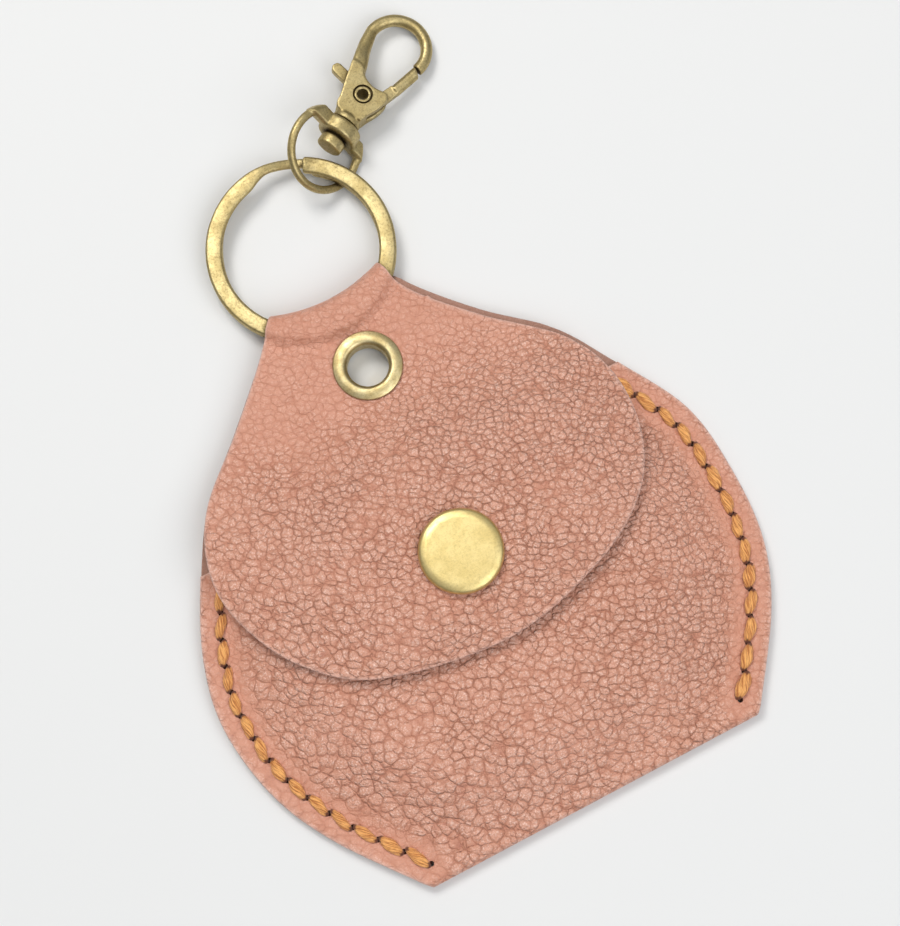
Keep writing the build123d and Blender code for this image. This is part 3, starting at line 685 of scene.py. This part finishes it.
def leather_sheet(name, border, holes, rows, place, cuts, spacing, flipped=False, sewn=False):
    """A sheet of leather: an outer side, a flesh side, and cut edges with rounded rims.

    cuts are the lines that are cut; the other edges run on into the next sheet.
    """
    loops = [border] + holes
    net = [np.vstack(loops)]
    for loop in loops:
        is_needle_hole = len(loop) <= NEEDLE_HOLE_POINTS
        steps = RIM_STEPS[:1] if is_needle_hole else RIM_STEPS
        net += [inset(loop, step) for step in steps]
    low = border.min(0)
    high = border.max(0)
    for row, y in enumerate(rows):
        xs = np.arange(low[0] + (row % 2) * spacing / 2, high[0], spacing)
        net.append(np.column_stack([xs, np.full(len(xs), y)]))
    first_free = len(net[0])
    points = np.vstack(net)
    grid_start = len(points) - sum(len(part) for part in net[-len(rows):])
    margin = RIM_STEPS[-1] + 0.3 * spacing
    keep = in_leather(points, border, holes)
    for loop in loops:
        keep[grid_start:] &= distance_to_line(points[grid_start:], close(loop)) > margin
    keep[:first_free] = True
    points = points[keep]

    outline = []
    base = 0
    for loop in loops:
        outline.append([base + i for i in range(len(loop))])
        base += len(loop)
    edges = [(loop[i - 1], loop[i]) for loop in outline for i in range(len(loop))]
    result = delaunay_2d_cdt([Vector(p) for p in points.tolist()], edges, [], 0, 1e-6)
    flat = np.array([tuple(v) for v in result[0]])
    triangles = np.array([face for face in result[2] if len(face) == 3])
    triangles = triangles[in_leather(flat[triangles].mean(1), border, holes)]
    where_now = {old: new for new, olds in enumerate(result[3]) for old in olds}
    outline = [[where_now[i] for i in loop] for loop in outline]
    if flipped:
        triangles = triangles[:, ::-1]
        outline = [loop[::-1] for loop in outline]

    outer = place(flat[:, 0], flat[:, 1])
    normals = np.zeros_like(outer)
    corners = outer[triangles]
    face_normals = np.cross(corners[:, 1] - corners[:, 0], corners[:, 2] - corners[:, 0])
    for k in range(3):
        np.add.at(normals, triangles[:, k], face_normals)
    normals /= np.maximum(np.linalg.norm(normals, axis=1), 1e-12)[:, None]
    inner = outer - normals * (LEATHER - SLIP)
    from_cut = np.min([distance_to_line(flat, cut) for cut in cuts], axis=0)
    reach = np.clip(EDGE_ROUND - from_cut, 0, EDGE_ROUND)
    drop = EDGE_ROUND - np.sqrt(EDGE_ROUND**2 - reach**2)
    outer = outer - normals * drop[:, None]
    inner = inner + normals * (drop * 0.4)[:, None]

    count = len(flat)
    faces = [tuple(face) for face in triangles.tolist()]
    kinds = [SKIN] * len(faces)
    faces += [tuple(count + i for i in face[::-1]) for face in triangles.tolist()]
    kinds += [FLESH] * len(triangles)
    for loop in outline:
        for i in range(len(loop)):
            a, b = loop[i - 1], loop[i]
            faces.append((b, a, count + a, count + b))
            kinds.append(EDGE)
    piece = new_mesh(name, np.vstack([outer, inner]), faces)
    for material in (LEATHER_SKIN, LEATHER_EDGE, LEATHER_FLESH):
        piece.data.materials.append(material)
    piece.data.polygons.foreach_set("material_index", kinds)
    piece.data.set_sharp_from_angle(angle=radians(55))
    # the grain reads each point's place at rest, so it stays put when the leather bends
    rest = np.empty(2 * count * 3, np.float32)
    piece.data.vertices.foreach_get("co", rest)
    store(piece, "rest", (rest / MM).reshape(-1, 3))
    store(piece, "rim", np.tile(1 - np.clip(from_cut / RIM_WORN, 0, 1), 2))
    pressed = seam_calm(outer[:, 0], outer[:, 1]) if sewn else np.zeros(count)
    store(piece, "calm", np.tile(pressed, 2))
    return piece


def front_sheet():
    """The neck's front and the flap."""
    cut = evenly([point for point in flap_line if point[1] < LOOP_LINE], 0.55)
    cut[0, 1] = cut[-1, 1] = LOOP_LINE
    top = evenly([cut[-1], cut[0]], 0.55)
    border = joined(cut, top)
    eyelet_hole = circle((0, 0), HOLE_R + 0.15, 0.4)
    rows = levels((-45.0, LOOP_LINE, ROW_STEP))

    def place(x, y):
        return np.column_stack([x, y, front_height(x, y)])

    return leather_sheet(
        "flap_leather", border, [eyelet_hole], rows, place, [cut, close(eyelet_hole)], SPACING
    )


FOLD_R = LEATHER
FRONT_LENGTH = MOUTH_LINE - FOLD_LINE  # flat length of the pocket's front, from its mouth to the fold
FOLD_LENGTH = pi * FOLD_R
BACK_START = FRONT_LENGTH + FOLD_LENGTH
SHEET_LENGTH = BACK_START + LOOP_LINE - FOLD_LINE


def unrolled_y(v):
    """y of a point of the pouch's sheet at a flat distance v from the pocket's mouth."""
    turn = np.clip((v - FRONT_LENGTH) / FOLD_R, 0, pi)
    front = MOUTH_LINE - np.minimum(v, FRONT_LENGTH)
    back = FOLD_LINE + np.maximum(v - BACK_START, 0)
    return np.where(v < BACK_START, front, back) - FOLD_R * np.sin(turn)


def pouch_sheet():
    """The pocket's front, the fold at the bottom and the back, with the neck's back, in one piece.

    Laid flat, it is x across and v from the pocket's mouth, down the front and up the back.
    """
    vs = levels((0, SHEET_LENGTH, 0.5))
    vs = np.append(vs, SHEET_LENGTH)
    ys = unrolled_y(vs)
    border, left, right = strip_border(left_at(ys), right_at(ys), vs, 0.6)
    cut = np.vstack([left[::-1], right])
    eyelet_v = BACK_START - FOLD_LINE
    holes = [circle((0, eyelet_v), HOLE_R + 0.15, 0.4)]
    for x, y in np.vstack([left_holes, right_holes]):
        if y < MOUTH_LINE - 1:
            holes.append(circle((x, MOUTH_LINE - y), NEEDLE_HOLE_R, 0.4))
        holes.append(circle((x, BACK_START + y - FOLD_LINE), NEEDLE_HOLE_R, 0.4))
    rows = levels(
        (0.6, FRONT_LENGTH - 0.4, ROW_STEP),
        (FRONT_LENGTH - 0.2, BACK_START + 0.2, 0.28),
        (BACK_START + 0.6, SHEET_LENGTH - 0.3, 0.75),
    )

    def place(x, v):
        y = unrolled_y(v)
        turn = np.clip((v - FRONT_LENGTH) / FOLD_R, 0, pi)
        front = pocket_height(x, y) - seam_sink(x, y)
        fold = FOLD_R + FOLD_R * np.cos(turn)
        back = back_height(x, y) + seam_sink(x, y)
        height = np.where(v < FRONT_LENGTH, front, np.where(v < BACK_START, fold, back))
        return np.column_stack([x, y, height])

    cuts = [cut, close(holes[0])]
    return leather_sheet(
        "pouch_leather", border, holes, rows, place, cuts, SPACING, flipped=True, sewn=True
    )


def back_height(x, y):
    """Outer side of the back: flat, rising to the neck, and pushed down by the ring in the loop."""
    rise = NECK_BOTTOM * eased((y + 15.0) / 9.5)
    return np.maximum(rise - LOOP_LIFT * ring_ridge(x, y), 0.05 * (y > 0))


LOOP_DEPTH = 1.9  # how far the fold over the ring bends beyond its flat sides
LOOP_RUN = 6.5  # flat length of each side of the loop
LOOP_BEND = 6.9  # flat length of the bend


def loop_sheet():
    """The neck folded over the key ring: from the front, round the fold, to the back."""
    total = 2 * LOOP_RUN + LOOP_BEND
    vs = np.append(levels((0, total, 0.4)), total)

    def turn_of(v):
        return np.clip((v - LOOP_RUN) / LOOP_BEND, 0, 1) * pi

    def fold_line(x):
        share = np.clip((x - left_at(NECK_FOLD)) / (right_at(NECK_FOLD) - left_at(NECK_FOLD)), 0, 1)
        return NECK_FOLD - FOLD_SAG * 4 * share * (1 - share) - LOOP_DEPTH

    def y_of(x, v):
        run = np.clip(np.minimum(v, total - v) / LOOP_RUN, 0, 1)
        return LOOP_LINE + (fold_line(x) - LOOP_LINE) * run + LOOP_DEPTH * np.sin(turn_of(v))

    edge_y = y_of(np.full(len(vs), -100.0), vs)
    behind = eased((vs - LOOP_RUN) / LOOP_BEND)
    left_x = front_edge_at(edge_y, -1) * (1 - behind) + left_at(edge_y) * behind
    right_x = front_edge_at(edge_y, 1) * (1 - behind) + right_at(edge_y) * behind
    border, left, right = strip_border(left_x, right_x, vs, 0.5)

    def place(x, v):
        y = y_of(x, v)
        turn = turn_of(v)
        side = np.minimum(y, fold_line(x))
        above = front_height(x, side) - NECK_MIDDLE
        below = NECK_MIDDLE - back_height(x, side)
        height = np.where(turn < pi / 2, above, below) * np.cos(turn)
        return np.column_stack([x, y, NECK_MIDDLE + height])

    rows = levels((0.4, total - 0.2, 0.42))
    return leather_sheet("loop_leather", border, [], rows, place, [left, right], 0.5)


flap_leather = front_sheet()
pouch_leather = pouch_sheet()
loop_leather = loop_sheet()

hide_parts("flap", "neck_front")
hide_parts("pocket_front", "bottom_fold", "back_panel", "neck_back")
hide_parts("neck_loop")
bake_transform(flap_leather)
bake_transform(loop_leather)
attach(pouch_leather, "pouch")


# ---------------- stitching
STITCH_WIDTH = 0.90  # half widths and half thicknesses of the doubled thread
STITCH_THICK = 0.54
BACK_FLATTENED = 0.6  # the back of the holder lies on its stitches
STITCH_SLANT = 0.34
STITCH_SUNK = 0.55  # how deep its ends go, and how high its middle rises from there
STITCH_RISE = 0.78


def front_surface(x, y):
    """Height that the front stitches lie on."""
    return float(pocket_height(np.array([x]), np.array([y]))[0]) - 0.05


def back_surface(x, y):
    """Height that the back stitches lie on, inside the flat back."""
    return 0.60


def stitch(start, end, surface, side, rng):
    """One stitch, in front (1) or behind (-1): points, faces, painted shade, and places on the thread."""
    rings = 25
    around = 24
    start = np.array(start)
    run = np.array(end) - start
    length = np.linalg.norm(run)
    along = run / length
    across_it = np.array([-along[1], along[0]])
    width = STITCH_WIDTH * (1 + 0.14 * rng.uniform(-1, 1))
    thick = STITCH_THICK * (1 + 0.10 * rng.uniform(-1, 1))
    slant = -(STITCH_SLANT + 0.14 * rng.uniform(-1, 1)) * side
    bow = 0.12 * rng.uniform(-1, 1)
    if side < 0:
        thick *= BACK_FLATTENED
    phase = rng.uniform(0, 2 * pi)
    points = []
    thread_shade = []
    filament = []
    for i in range(rings):
        t = i / (rings - 1)
        s = 2 * t - 1
        taper = 0.34 + 0.66 * cos(pi * s / 2)
        middle = start + run * (-0.02 + 1.04 * t) + across_it * (slant * s + bow * (1 - s * s))
        lift = surface(*middle) + side * (-STITCH_SUNK + STITCH_RISE * (1 - abs(s) ** 4))
        for j in range(around):
            angle = 2 * pi * j / around
            ply = abs(cos(1.5 * angle + 2.4 * s + phase))
            strands = 0.84 + 0.20 * ply
            out = width * taper * cos(angle) * strands
            up = thick * (0.5 + 0.5 * taper) * sin(angle) * strands
            place = middle + across_it * out
            points.append((place[0], place[1], lift + up))
            # painted shade: darker towards the ends, where the thread dives into its holes, and in the
            # grooves between its plies
            thread_shade.append(min(1.0, max(0.0, (abs(s) - 0.64) / 0.34) + 0.5 * (1 - ply) ** 3))
            filament.append((s * length / 2, angle * 0.5 + 0.5 * s, phase))
    return points, grid_faces(rings, around, closed=True, capped=True), thread_shade, filament


def seam(name, holes, node, seed):
    """The stitches of one seam, in front and behind."""
    rng = random.Random(seed)
    points = []
    faces = []
    thread_shade = []
    filament = []
    for surface, side in ((front_surface, 1), (back_surface, -1)):
        for start, end in zip(holes, holes[1:]):
            more = stitch(start, end, surface, side, rng)
            base = len(points)
            points += more[0]
            faces += [tuple(base + k for k in face) for face in more[1]]
            thread_shade += more[2]
            filament += more[3]
    piece = new_mesh(name, points, faces)
    store(piece, "thread_shade", thread_shade)
    store(piece, "filament", filament)
    piece.data.materials.append(THREAD)
    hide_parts(node)
    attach(piece, "pouch")


seam("left_stitches", left_holes, "left_seam_thread", 11)
seam("right_stitches", right_holes, "right_seam_thread", 23)


# ---------------- eyelet and snap cap
def metal(piece, material, slot, body, *replaced):
    """Finishes a metal piece: its material, the body it rides and the CAD nodes it replaces; its slot is
    not used.
    """
    piece.data.materials.append(material)
    piece.data.set_sharp_from_angle(angle=radians(50))
    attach(piece, body)
    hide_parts(*replaced)


WASHER_BOTTOM = box_mm("eyelet_washer")[0][2]
BARREL_R = HOLE_R + 0.25
ROLLED_R = 4.25  # the barrel's lower end, rolled out over the washer
flange = EYELET_FLANGE_R
eyelet_profile = rounded(
    [
        (BARREL_R, NECK_TOP), (BARREL_R, WASHER_BOTTOM), (ROLLED_R, WASHER_BOTTOM - 0.02),
        (ROLLED_R, eyelet_low[2] + 0.08), (ROLLED_R - 0.35, eyelet_low[2]), (BARREL_R, eyelet_low[2]),
        (HOLE_R, eyelet_low[2] + 0.35), (HOLE_R, eyelet_high[2] - 0.45),
        (HOLE_R + 0.45, eyelet_high[2]), (flange - 0.85, eyelet_high[2]),
        (flange, eyelet_high[2] - 0.28), (flange, NECK_TOP - 0.08), (BARREL_R, NECK_TOP - 0.08),
        (BARREL_R, NECK_TOP),
    ],
    0.4,
    6,
)
eyelet = lathe("eyelet", eyelet_profile, (0, 0), 128)
metal(eyelet, EYELET_BRASS, "brass_polished", "pouch", "eyelet_barrel")

cap_profile = rounded(
    [
        (0.001, CAP_TOP), (CAP_R - 1.15, CAP_TOP - 0.02), (CAP_R - 0.25, CAP_TOP - 0.32),
        (CAP_R, CAP_TOP - 1.0), (CAP_R - 0.25, CAP_TOP - 1.45), (CAP_R - 1.2, CAP_TOP - 1.4),
        (CAP_R - 1.2, CAP_TOP - 1.25), (1.4, CAP_TOP - 1.25), (1.4, cap_low[2]), (0.001, cap_low[2]),
    ],
    0.55,
    8,
)
cap = lathe("snap_cap_shell", cap_profile, CAP_CENTRE, 128)
metal(cap, CAP_BRASS, "brass_satin", "flap", "snap_cap")


# ---------------- key ring
RING_WIDTH = 2.5
RING_THICK = 1.0
RING_GAP = 0.1
RING_CORNER = 0.42
# Angles are in degrees, clockwise from the ring's far side. The wire makes nearly two turns.
RING_START = 28
RING_END = 706
RING_END_RUN = 2  # over which each end of the wire is rounded off
RING_DROP_FROM = 354  # the wire steps down to its lower turn here
RING_DROP_RUN = 32
RING_SLIM = 1.1  # narrower by this much where it passes between the turns
RING_TUCK = 0.35  # and by this much at the end of the lower turn


def key_ring():
    """The two-turn split ring: one wire swept from the end of its upper turn down to the lower one."""
    upper = NECK_MIDDLE + (RING_THICK + RING_GAP) / 2
    lower = NECK_MIDDLE - (RING_THICK + RING_GAP) / 2
    outline = []
    for cx, cy, first in ((1, 1, 0), (-1, 1, 90), (-1, -1, 180), (1, -1, 270)):
        for k in range(5):
            angle = radians(first + 22.5 * k)
            outline.append((cx, cy, cos(angle), sin(angle)))
    angles = [RING_START + 0.25 * k for k in range(9)]
    angles += list(np.arange(RING_START + 3, RING_END - 3, 2.0))
    angles += [RING_END - RING_END_RUN + 0.25 * k for k in range(9)]
    points = []
    for angle in angles:
        drop = eased((angle - RING_DROP_FROM) / RING_DROP_RUN)
        height = upper + (lower - upper) * drop
        # slimmer where it passes between the turns, and tucked in where the lower turn ends
        slim = eased((angle - 345) / 20) * eased((397 - angle) / 9)
        tuck = eased((angle - 650) / 40)
        wide = RING_WIDTH - RING_SLIM * slim - RING_TUCK * tuck
        from_end = min(angle - RING_START, RING_END - angle)
        end = sqrt(max(0.02, 1 - (1 - min(1.0, from_end / RING_END_RUN)) ** 2))
        outward = np.array([sin(radians(angle)), cos(radians(angle))])
        for cx, cy, dx, dy in outline:
            across_wire = cx * (wide / 2 - RING_CORNER) + dx * RING_CORNER
            across_wire *= 0.55 + 0.45 * end
            up = cy * (RING_THICK / 2 - RING_CORNER) + dy * RING_CORNER
            up *= 0.7 + 0.3 * end
            spot = RING_CENTRE + outward * (RING_R - wide / 2 + across_wire)
            points.append((spot[0], spot[1], height + up))
    faces = grid_faces(len(angles), len(outline), closed=True, capped=True)
    return new_mesh("split_ring", points, [face[::-1] for face in faces])


metal(key_ring(), ANTIQUE, "brass_antique", "key_ring", "key_ring")

# ---------------- lobster clasp
# Its own frame: u along the swivel axis towards the bow, v to the spine, w out of its plate.
CLASP_AT = (17.66, 36.28, 3.25)
CLASP_U = Vector((0.853244, 0.507538, -0.119916))
CLASP_V = Vector((-0.502599, 0.861629, 0.070636))
CLASP_W = CLASP_U.cross(CLASP_V)
PLATE_HALF = 1.9  # half thicknesses of the plate and of the gate's slot in it
SLOT_HALF = 0.72
PLATE_FROM = -3.7
SLOT_FROM = -2.35
SLOT_TO = 3.2
BOW_R = 4.52
BOW_U = 9.7
BOW_WIRE_R = 0.92
BOW_ARC = 195.0
BOW_STEPS = 60
SPINE = [  # u, v of the middle, half width, half thickness, roundness
    (-0.8, 1.5, 1.1, 1.88, 0.3), (1.1, 2.2, 1.4, 1.88, 0.3), (3.0, 2.75, 1.28, 1.86, 0.3),
    (5.0, 3.34, 1.22, 1.70, 0.45), (7.2, 4.02, 1.08, 1.25, 0.75), (9.8, 4.52, 0.92, 0.92, 1.0),
]
PLATE_EDGE = [
    (PLATE_FROM, -1.9), (-2.2, -2.4), (-0.6, -3.1), (1.1, -3.45), (2.1, -3.05), (2.0, -1.9), (1.9, -0.7),
    (2.3, 0.6), (3.0, 1.6), (3.8, 2.2), (3.9, 4.1), (2.8, 3.95), (1.1, 3.55), (-1.4, 2.85),
    (PLATE_FROM, 2.05),
]
RIVET_R = 1.25
RIVET_SEAT_R = 1.5
RIVET_SEAT_DEPTH = 0.35
SWIVEL = rounded(  # (radius, u) of the swivel's neck, band, stem and head
    [
        (0.0, -3.2), (1.75, -3.2), (1.75, -3.8), (2.2, -3.8), (2.2, -4.8), (1.45, -4.8), (1.45, -7.65),
        (1.95, -7.65), (1.95, -9.35), (0.0, -9.35),
    ],
    0.22,
)


def tube(stations, around=28):
    """A closed tube through (centre, first half axis, second half axis, roundness) stations."""
    points = []
    for centre, first, second, roundness in stations:
        for i in range(around):
            angle = 2 * pi * (i + 0.5) / around
            along_first = copysign(abs(cos(angle)) ** roundness, cos(angle))
            along_second = copysign(abs(sin(angle)) ** roundness, sin(angle))
            spot = Vector(centre) + Vector(first) * along_first + Vector(second) * along_second
            points.append(tuple(spot))
    return points, grid_faces(len(stations), around, closed=True, capped=True)


def prism(outline, bottom, top):
    """A plate with a smooth outline between two heights."""
    points = [(x, y, height) for height in (bottom, top) for x, y in outline]
    return points, grid_faces(2, len(outline), closed=True, capped=True)


def spun(profile, steps=72):
    """(radius, u) points turned about the swivel axis."""
    points = []
    for radius, u in profile:
        radius = max(radius, 0.01)
        for i in range(steps):
            angle = 2 * pi * i / steps
            points.append((u, radius * cos(angle), radius * sin(angle)))
    return points, grid_faces(len(profile), steps, closed=True, capped=True)


def cad_shape(name):
    """Points in millimetres, from the frame's origin, and faces of a CAD node."""
    node = nodes[name]
    points = [tuple(node.matrix_world @ vertex.co / MM) for vertex in node.data.vertices]
    return points, [tuple(polygon.vertices) for polygon in node.data.polygons]


VOXEL = 0.11


def cast(name, shapes, matrix, softness, cutter=None):
    """One casting from overlapping closed shapes: joined, softened and with the cutter taken away."""
    shape = bmesh.new()
    for points, faces in shapes:
        vertices = [shape.verts.new(point) for point in points]
        for face in faces:
            shape.faces.new([vertices[i] for i in face])
    bmesh.ops.remove_doubles(shape, verts=shape.verts, dist=0.001)
    bmesh.ops.recalc_face_normals(shape, faces=shape.faces)
    mesh = bpy.data.meshes.new(name)
    shape.to_mesh(mesh)
    shape.free()
    piece = bpy.data.objects.new(name, mesh)
    scene.collection.objects.link(piece)
    remesh = piece.modifiers.new("join", "REMESH")
    remesh.mode = "VOXEL"
    remesh.voxel_size = VOXEL
    remesh.use_smooth_shade = True
    smooth = piece.modifiers.new("soften", "SMOOTH")
    smooth.factor = 0.5
    smooth.iterations = softness
    if cutter:
        cut = piece.modifiers.new("cut", "BOOLEAN")
        cut.object = cutter
        cut.solver = "EXACT"
    bpy.context.view_layer.update()
    evaluated = piece.evaluated_get(bpy.context.evaluated_depsgraph_get())
    finished = bpy.data.meshes.new_from_object(evaluated)
    piece.modifiers.clear()
    piece.data = finished
    finished.name = name
    finished.transform(Matrix.Scale(MM, 4) @ matrix)
    finished.polygons.foreach_set("use_smooth", [True] * len(finished.polygons))
    if cutter:
        bpy.data.objects.remove(cutter)
    return piece


clasp_matrix = Matrix((CLASP_U, CLASP_V, CLASP_W)).transposed().to_4x4()
clasp_matrix.translation = Vector(CLASP_AT) + Vector((0, 0, BACK))


def hook_casting():
    """Two plate cheeks, their spine, the bow and the swivel's stem, cast in one."""
    outline = smooth_line(PLATE_EDGE + PLATE_EDGE[:1], 0.3)[:-1]
    root = [(PLATE_FROM, -1.9), (SLOT_FROM, -2.35), (SLOT_FROM, 2.6), (PLATE_FROM, 2.05)]
    shapes = [prism(outline, SLOT_HALF, PLATE_HALF), prism(outline, -PLATE_HALF, -SLOT_HALF)]
    shapes.append(prism(root, -PLATE_HALF, PLATE_HALF))
    spine = [
        ((u, v, 0), (0, half_width, 0), (0, 0, half_thick), roundness)
        for u, v, half_width, half_thick, roundness in smooth_line(SPINE, 0.3)
        if u > SLOT_TO
    ]
    shapes.append(tube(spine))
    bow = []
    for i in range(BOW_STEPS + 1):
        angle = radians(90 - BOW_ARC * i / BOW_STEPS)
        outward = Vector((cos(angle), sin(angle), 0))
        centre = Vector((BOW_U, 0, 0)) + outward * BOW_R
        bow.append((centre, outward * BOW_WIRE_R, (0, 0, BOW_WIRE_R), 1.0))
    shapes.append(tube(bow))
    shapes.append(spun(SWIVEL))
    seat = PLATE_HALF - RIVET_SEAT_DEPTH
    cutter_profile = [
        (0.01, -3), (RIVET_SEAT_R, -3), (RIVET_SEAT_R, -seat), (RIVET_R, -seat),
        (RIVET_R, seat), (RIVET_SEAT_R, seat), (RIVET_SEAT_R, 3), (0.01, 3),
    ]
    points, faces = spun(cutter_profile, 64)
    mesh = bpy.data.meshes.new("cutter")
    mesh.from_pydata([(x, y, u) for u, x, y in points], [], faces)
    cutter = bpy.data.objects.new("cutter", mesh)
    scene.collection.objects.link(cutter)
    return cast("hook_casting", shapes, clasp_matrix, 16, cutter)


metal(hook_casting(), ANTIQUE, "brass_antique", "hook", "hook_body")
eye = cast("eye_casting", [cad_shape("swivel_eye")], Matrix(), 12)
metal(eye, ANTIQUE, "brass_antique", "swivel_eye", "swivel_eye")
gate = cast("gate_casting", [cad_shape("hook_gate")], Matrix(), 8)
metal(gate, ANTIQUE, "brass_antique", "gate", "hook_gate")

# ---------------- CAD pieces with finished materials
for names, material in (
    (("gate_rivet",), ANTIQUE),
    (("eyelet_washer",), EYELET_BRASS),
    (("snap_socket", "snap_stud", "snap_post"), CAP_BRASS),
    (("snap_spring", "gate_spring"), STEEL),
):
    for name in names:
        nodes[name].data.materials.clear()
        nodes[name].data.materials.append(material)


# ---------------- floor, light and camera
FLOOR_HALF = 900
FLOOR_TOP = -0.02
floor_corners = [(-1, -1), (1, -1), (1, 1), (-1, 1)]
floor = new_mesh(
    "floor", [(x * FLOOR_HALF, y * FLOOR_HALF, FLOOR_TOP) for x, y in floor_corners], [(0, 1, 2, 3)]
)
floor.data.materials.append(Shader("pale_floor").finish(Base_Color=(0.78, 0.78, 0.77, 1), Roughness=0.9))

LOOK_AT = Vector((4.205, -17.691, BACK)) * MM
PICTURE_UP = Vector((0.4631, 0.8863, 0.0))  # up in the picture, on the floor
TILT = radians(8.5)
DISTANCE = 285.0 * MM

camera_data = bpy.data.cameras.new("camera")
camera_data.sensor_width = 36.0
camera_data.lens = 76.00432
camera_data.clip_start = 0.01
camera = bpy.data.objects.new("camera", camera_data)
scene.collection.objects.link(camera)
camera.location = LOOK_AT + (Vector((0, 0, 1)) * cos(TILT) - PICTURE_UP * sin(TILT)) * DISTANCE
backward = (camera.location - LOOK_AT).normalized()
rightward = PICTURE_UP.cross(backward).normalized()
upward = backward.cross(rightward)
camera.rotation_euler = Matrix((rightward, upward, backward)).transposed().to_euler()
scene.camera = camera


def area_light(name, aim, size, power, colour=(1, 1, 1)):
    """A square soft light at aim, in picture right, picture up and height, pointing at the pouch."""
    light = bpy.data.lights.new(name, "AREA")
    light.size = size
    light.energy = power
    light.color = colour
    lamp = bpy.data.objects.new(name, light)
    scene.collection.objects.link(lamp)
    picture_right = PICTURE_UP.cross(Vector((0, 0, 1)))
    lamp.location = LOOK_AT + picture_right * aim[0] + PICTURE_UP * aim[1] + Vector((0, 0, aim[2]))
    lamp.rotation_euler = (lamp.location - LOOK_AT).to_track_quat("Z", "Y").to_euler()


area_light("window", (-0.25, 0.34, 0.62), 0.28, 2.9, (1.0, 0.985, 0.96))
area_light("fill", (0.42, -0.34, 0.60), 0.60, 3.1, (0.95, 0.97, 1.0))
area_light("top", (0.05, 0.10, 0.85), 0.70, 0.8)

world = bpy.data.worlds.new("studio")
world.use_nodes = True
sky = world.node_tree.nodes
sky_links = world.node_tree.links
direction = sky.new("ShaderNodeTexCoord")
axes = sky.new("ShaderNodeSeparateXYZ")
overhead = sky.new("ShaderNodeMapRange")  # the sky is brighter overhead than at its edge
for socket, value in (("From Min", -0.1), ("From Max", 0.9), ("To Min", 0.08), ("To Max", 0.42)):
    overhead.inputs[socket].default_value = value
sky_links.new(direction.outputs["Generated"], axes.inputs[0])
sky_links.new(axes.outputs["Z"], overhead.inputs["Value"])
sky_links.new(overhead.outputs[0], sky["Background"].inputs["Strength"])
sky["Background"].inputs["Color"].default_value = (0.95, 0.97, 1.0, 1)
scene.world = world
scene.view_settings.view_transform = "Standard"
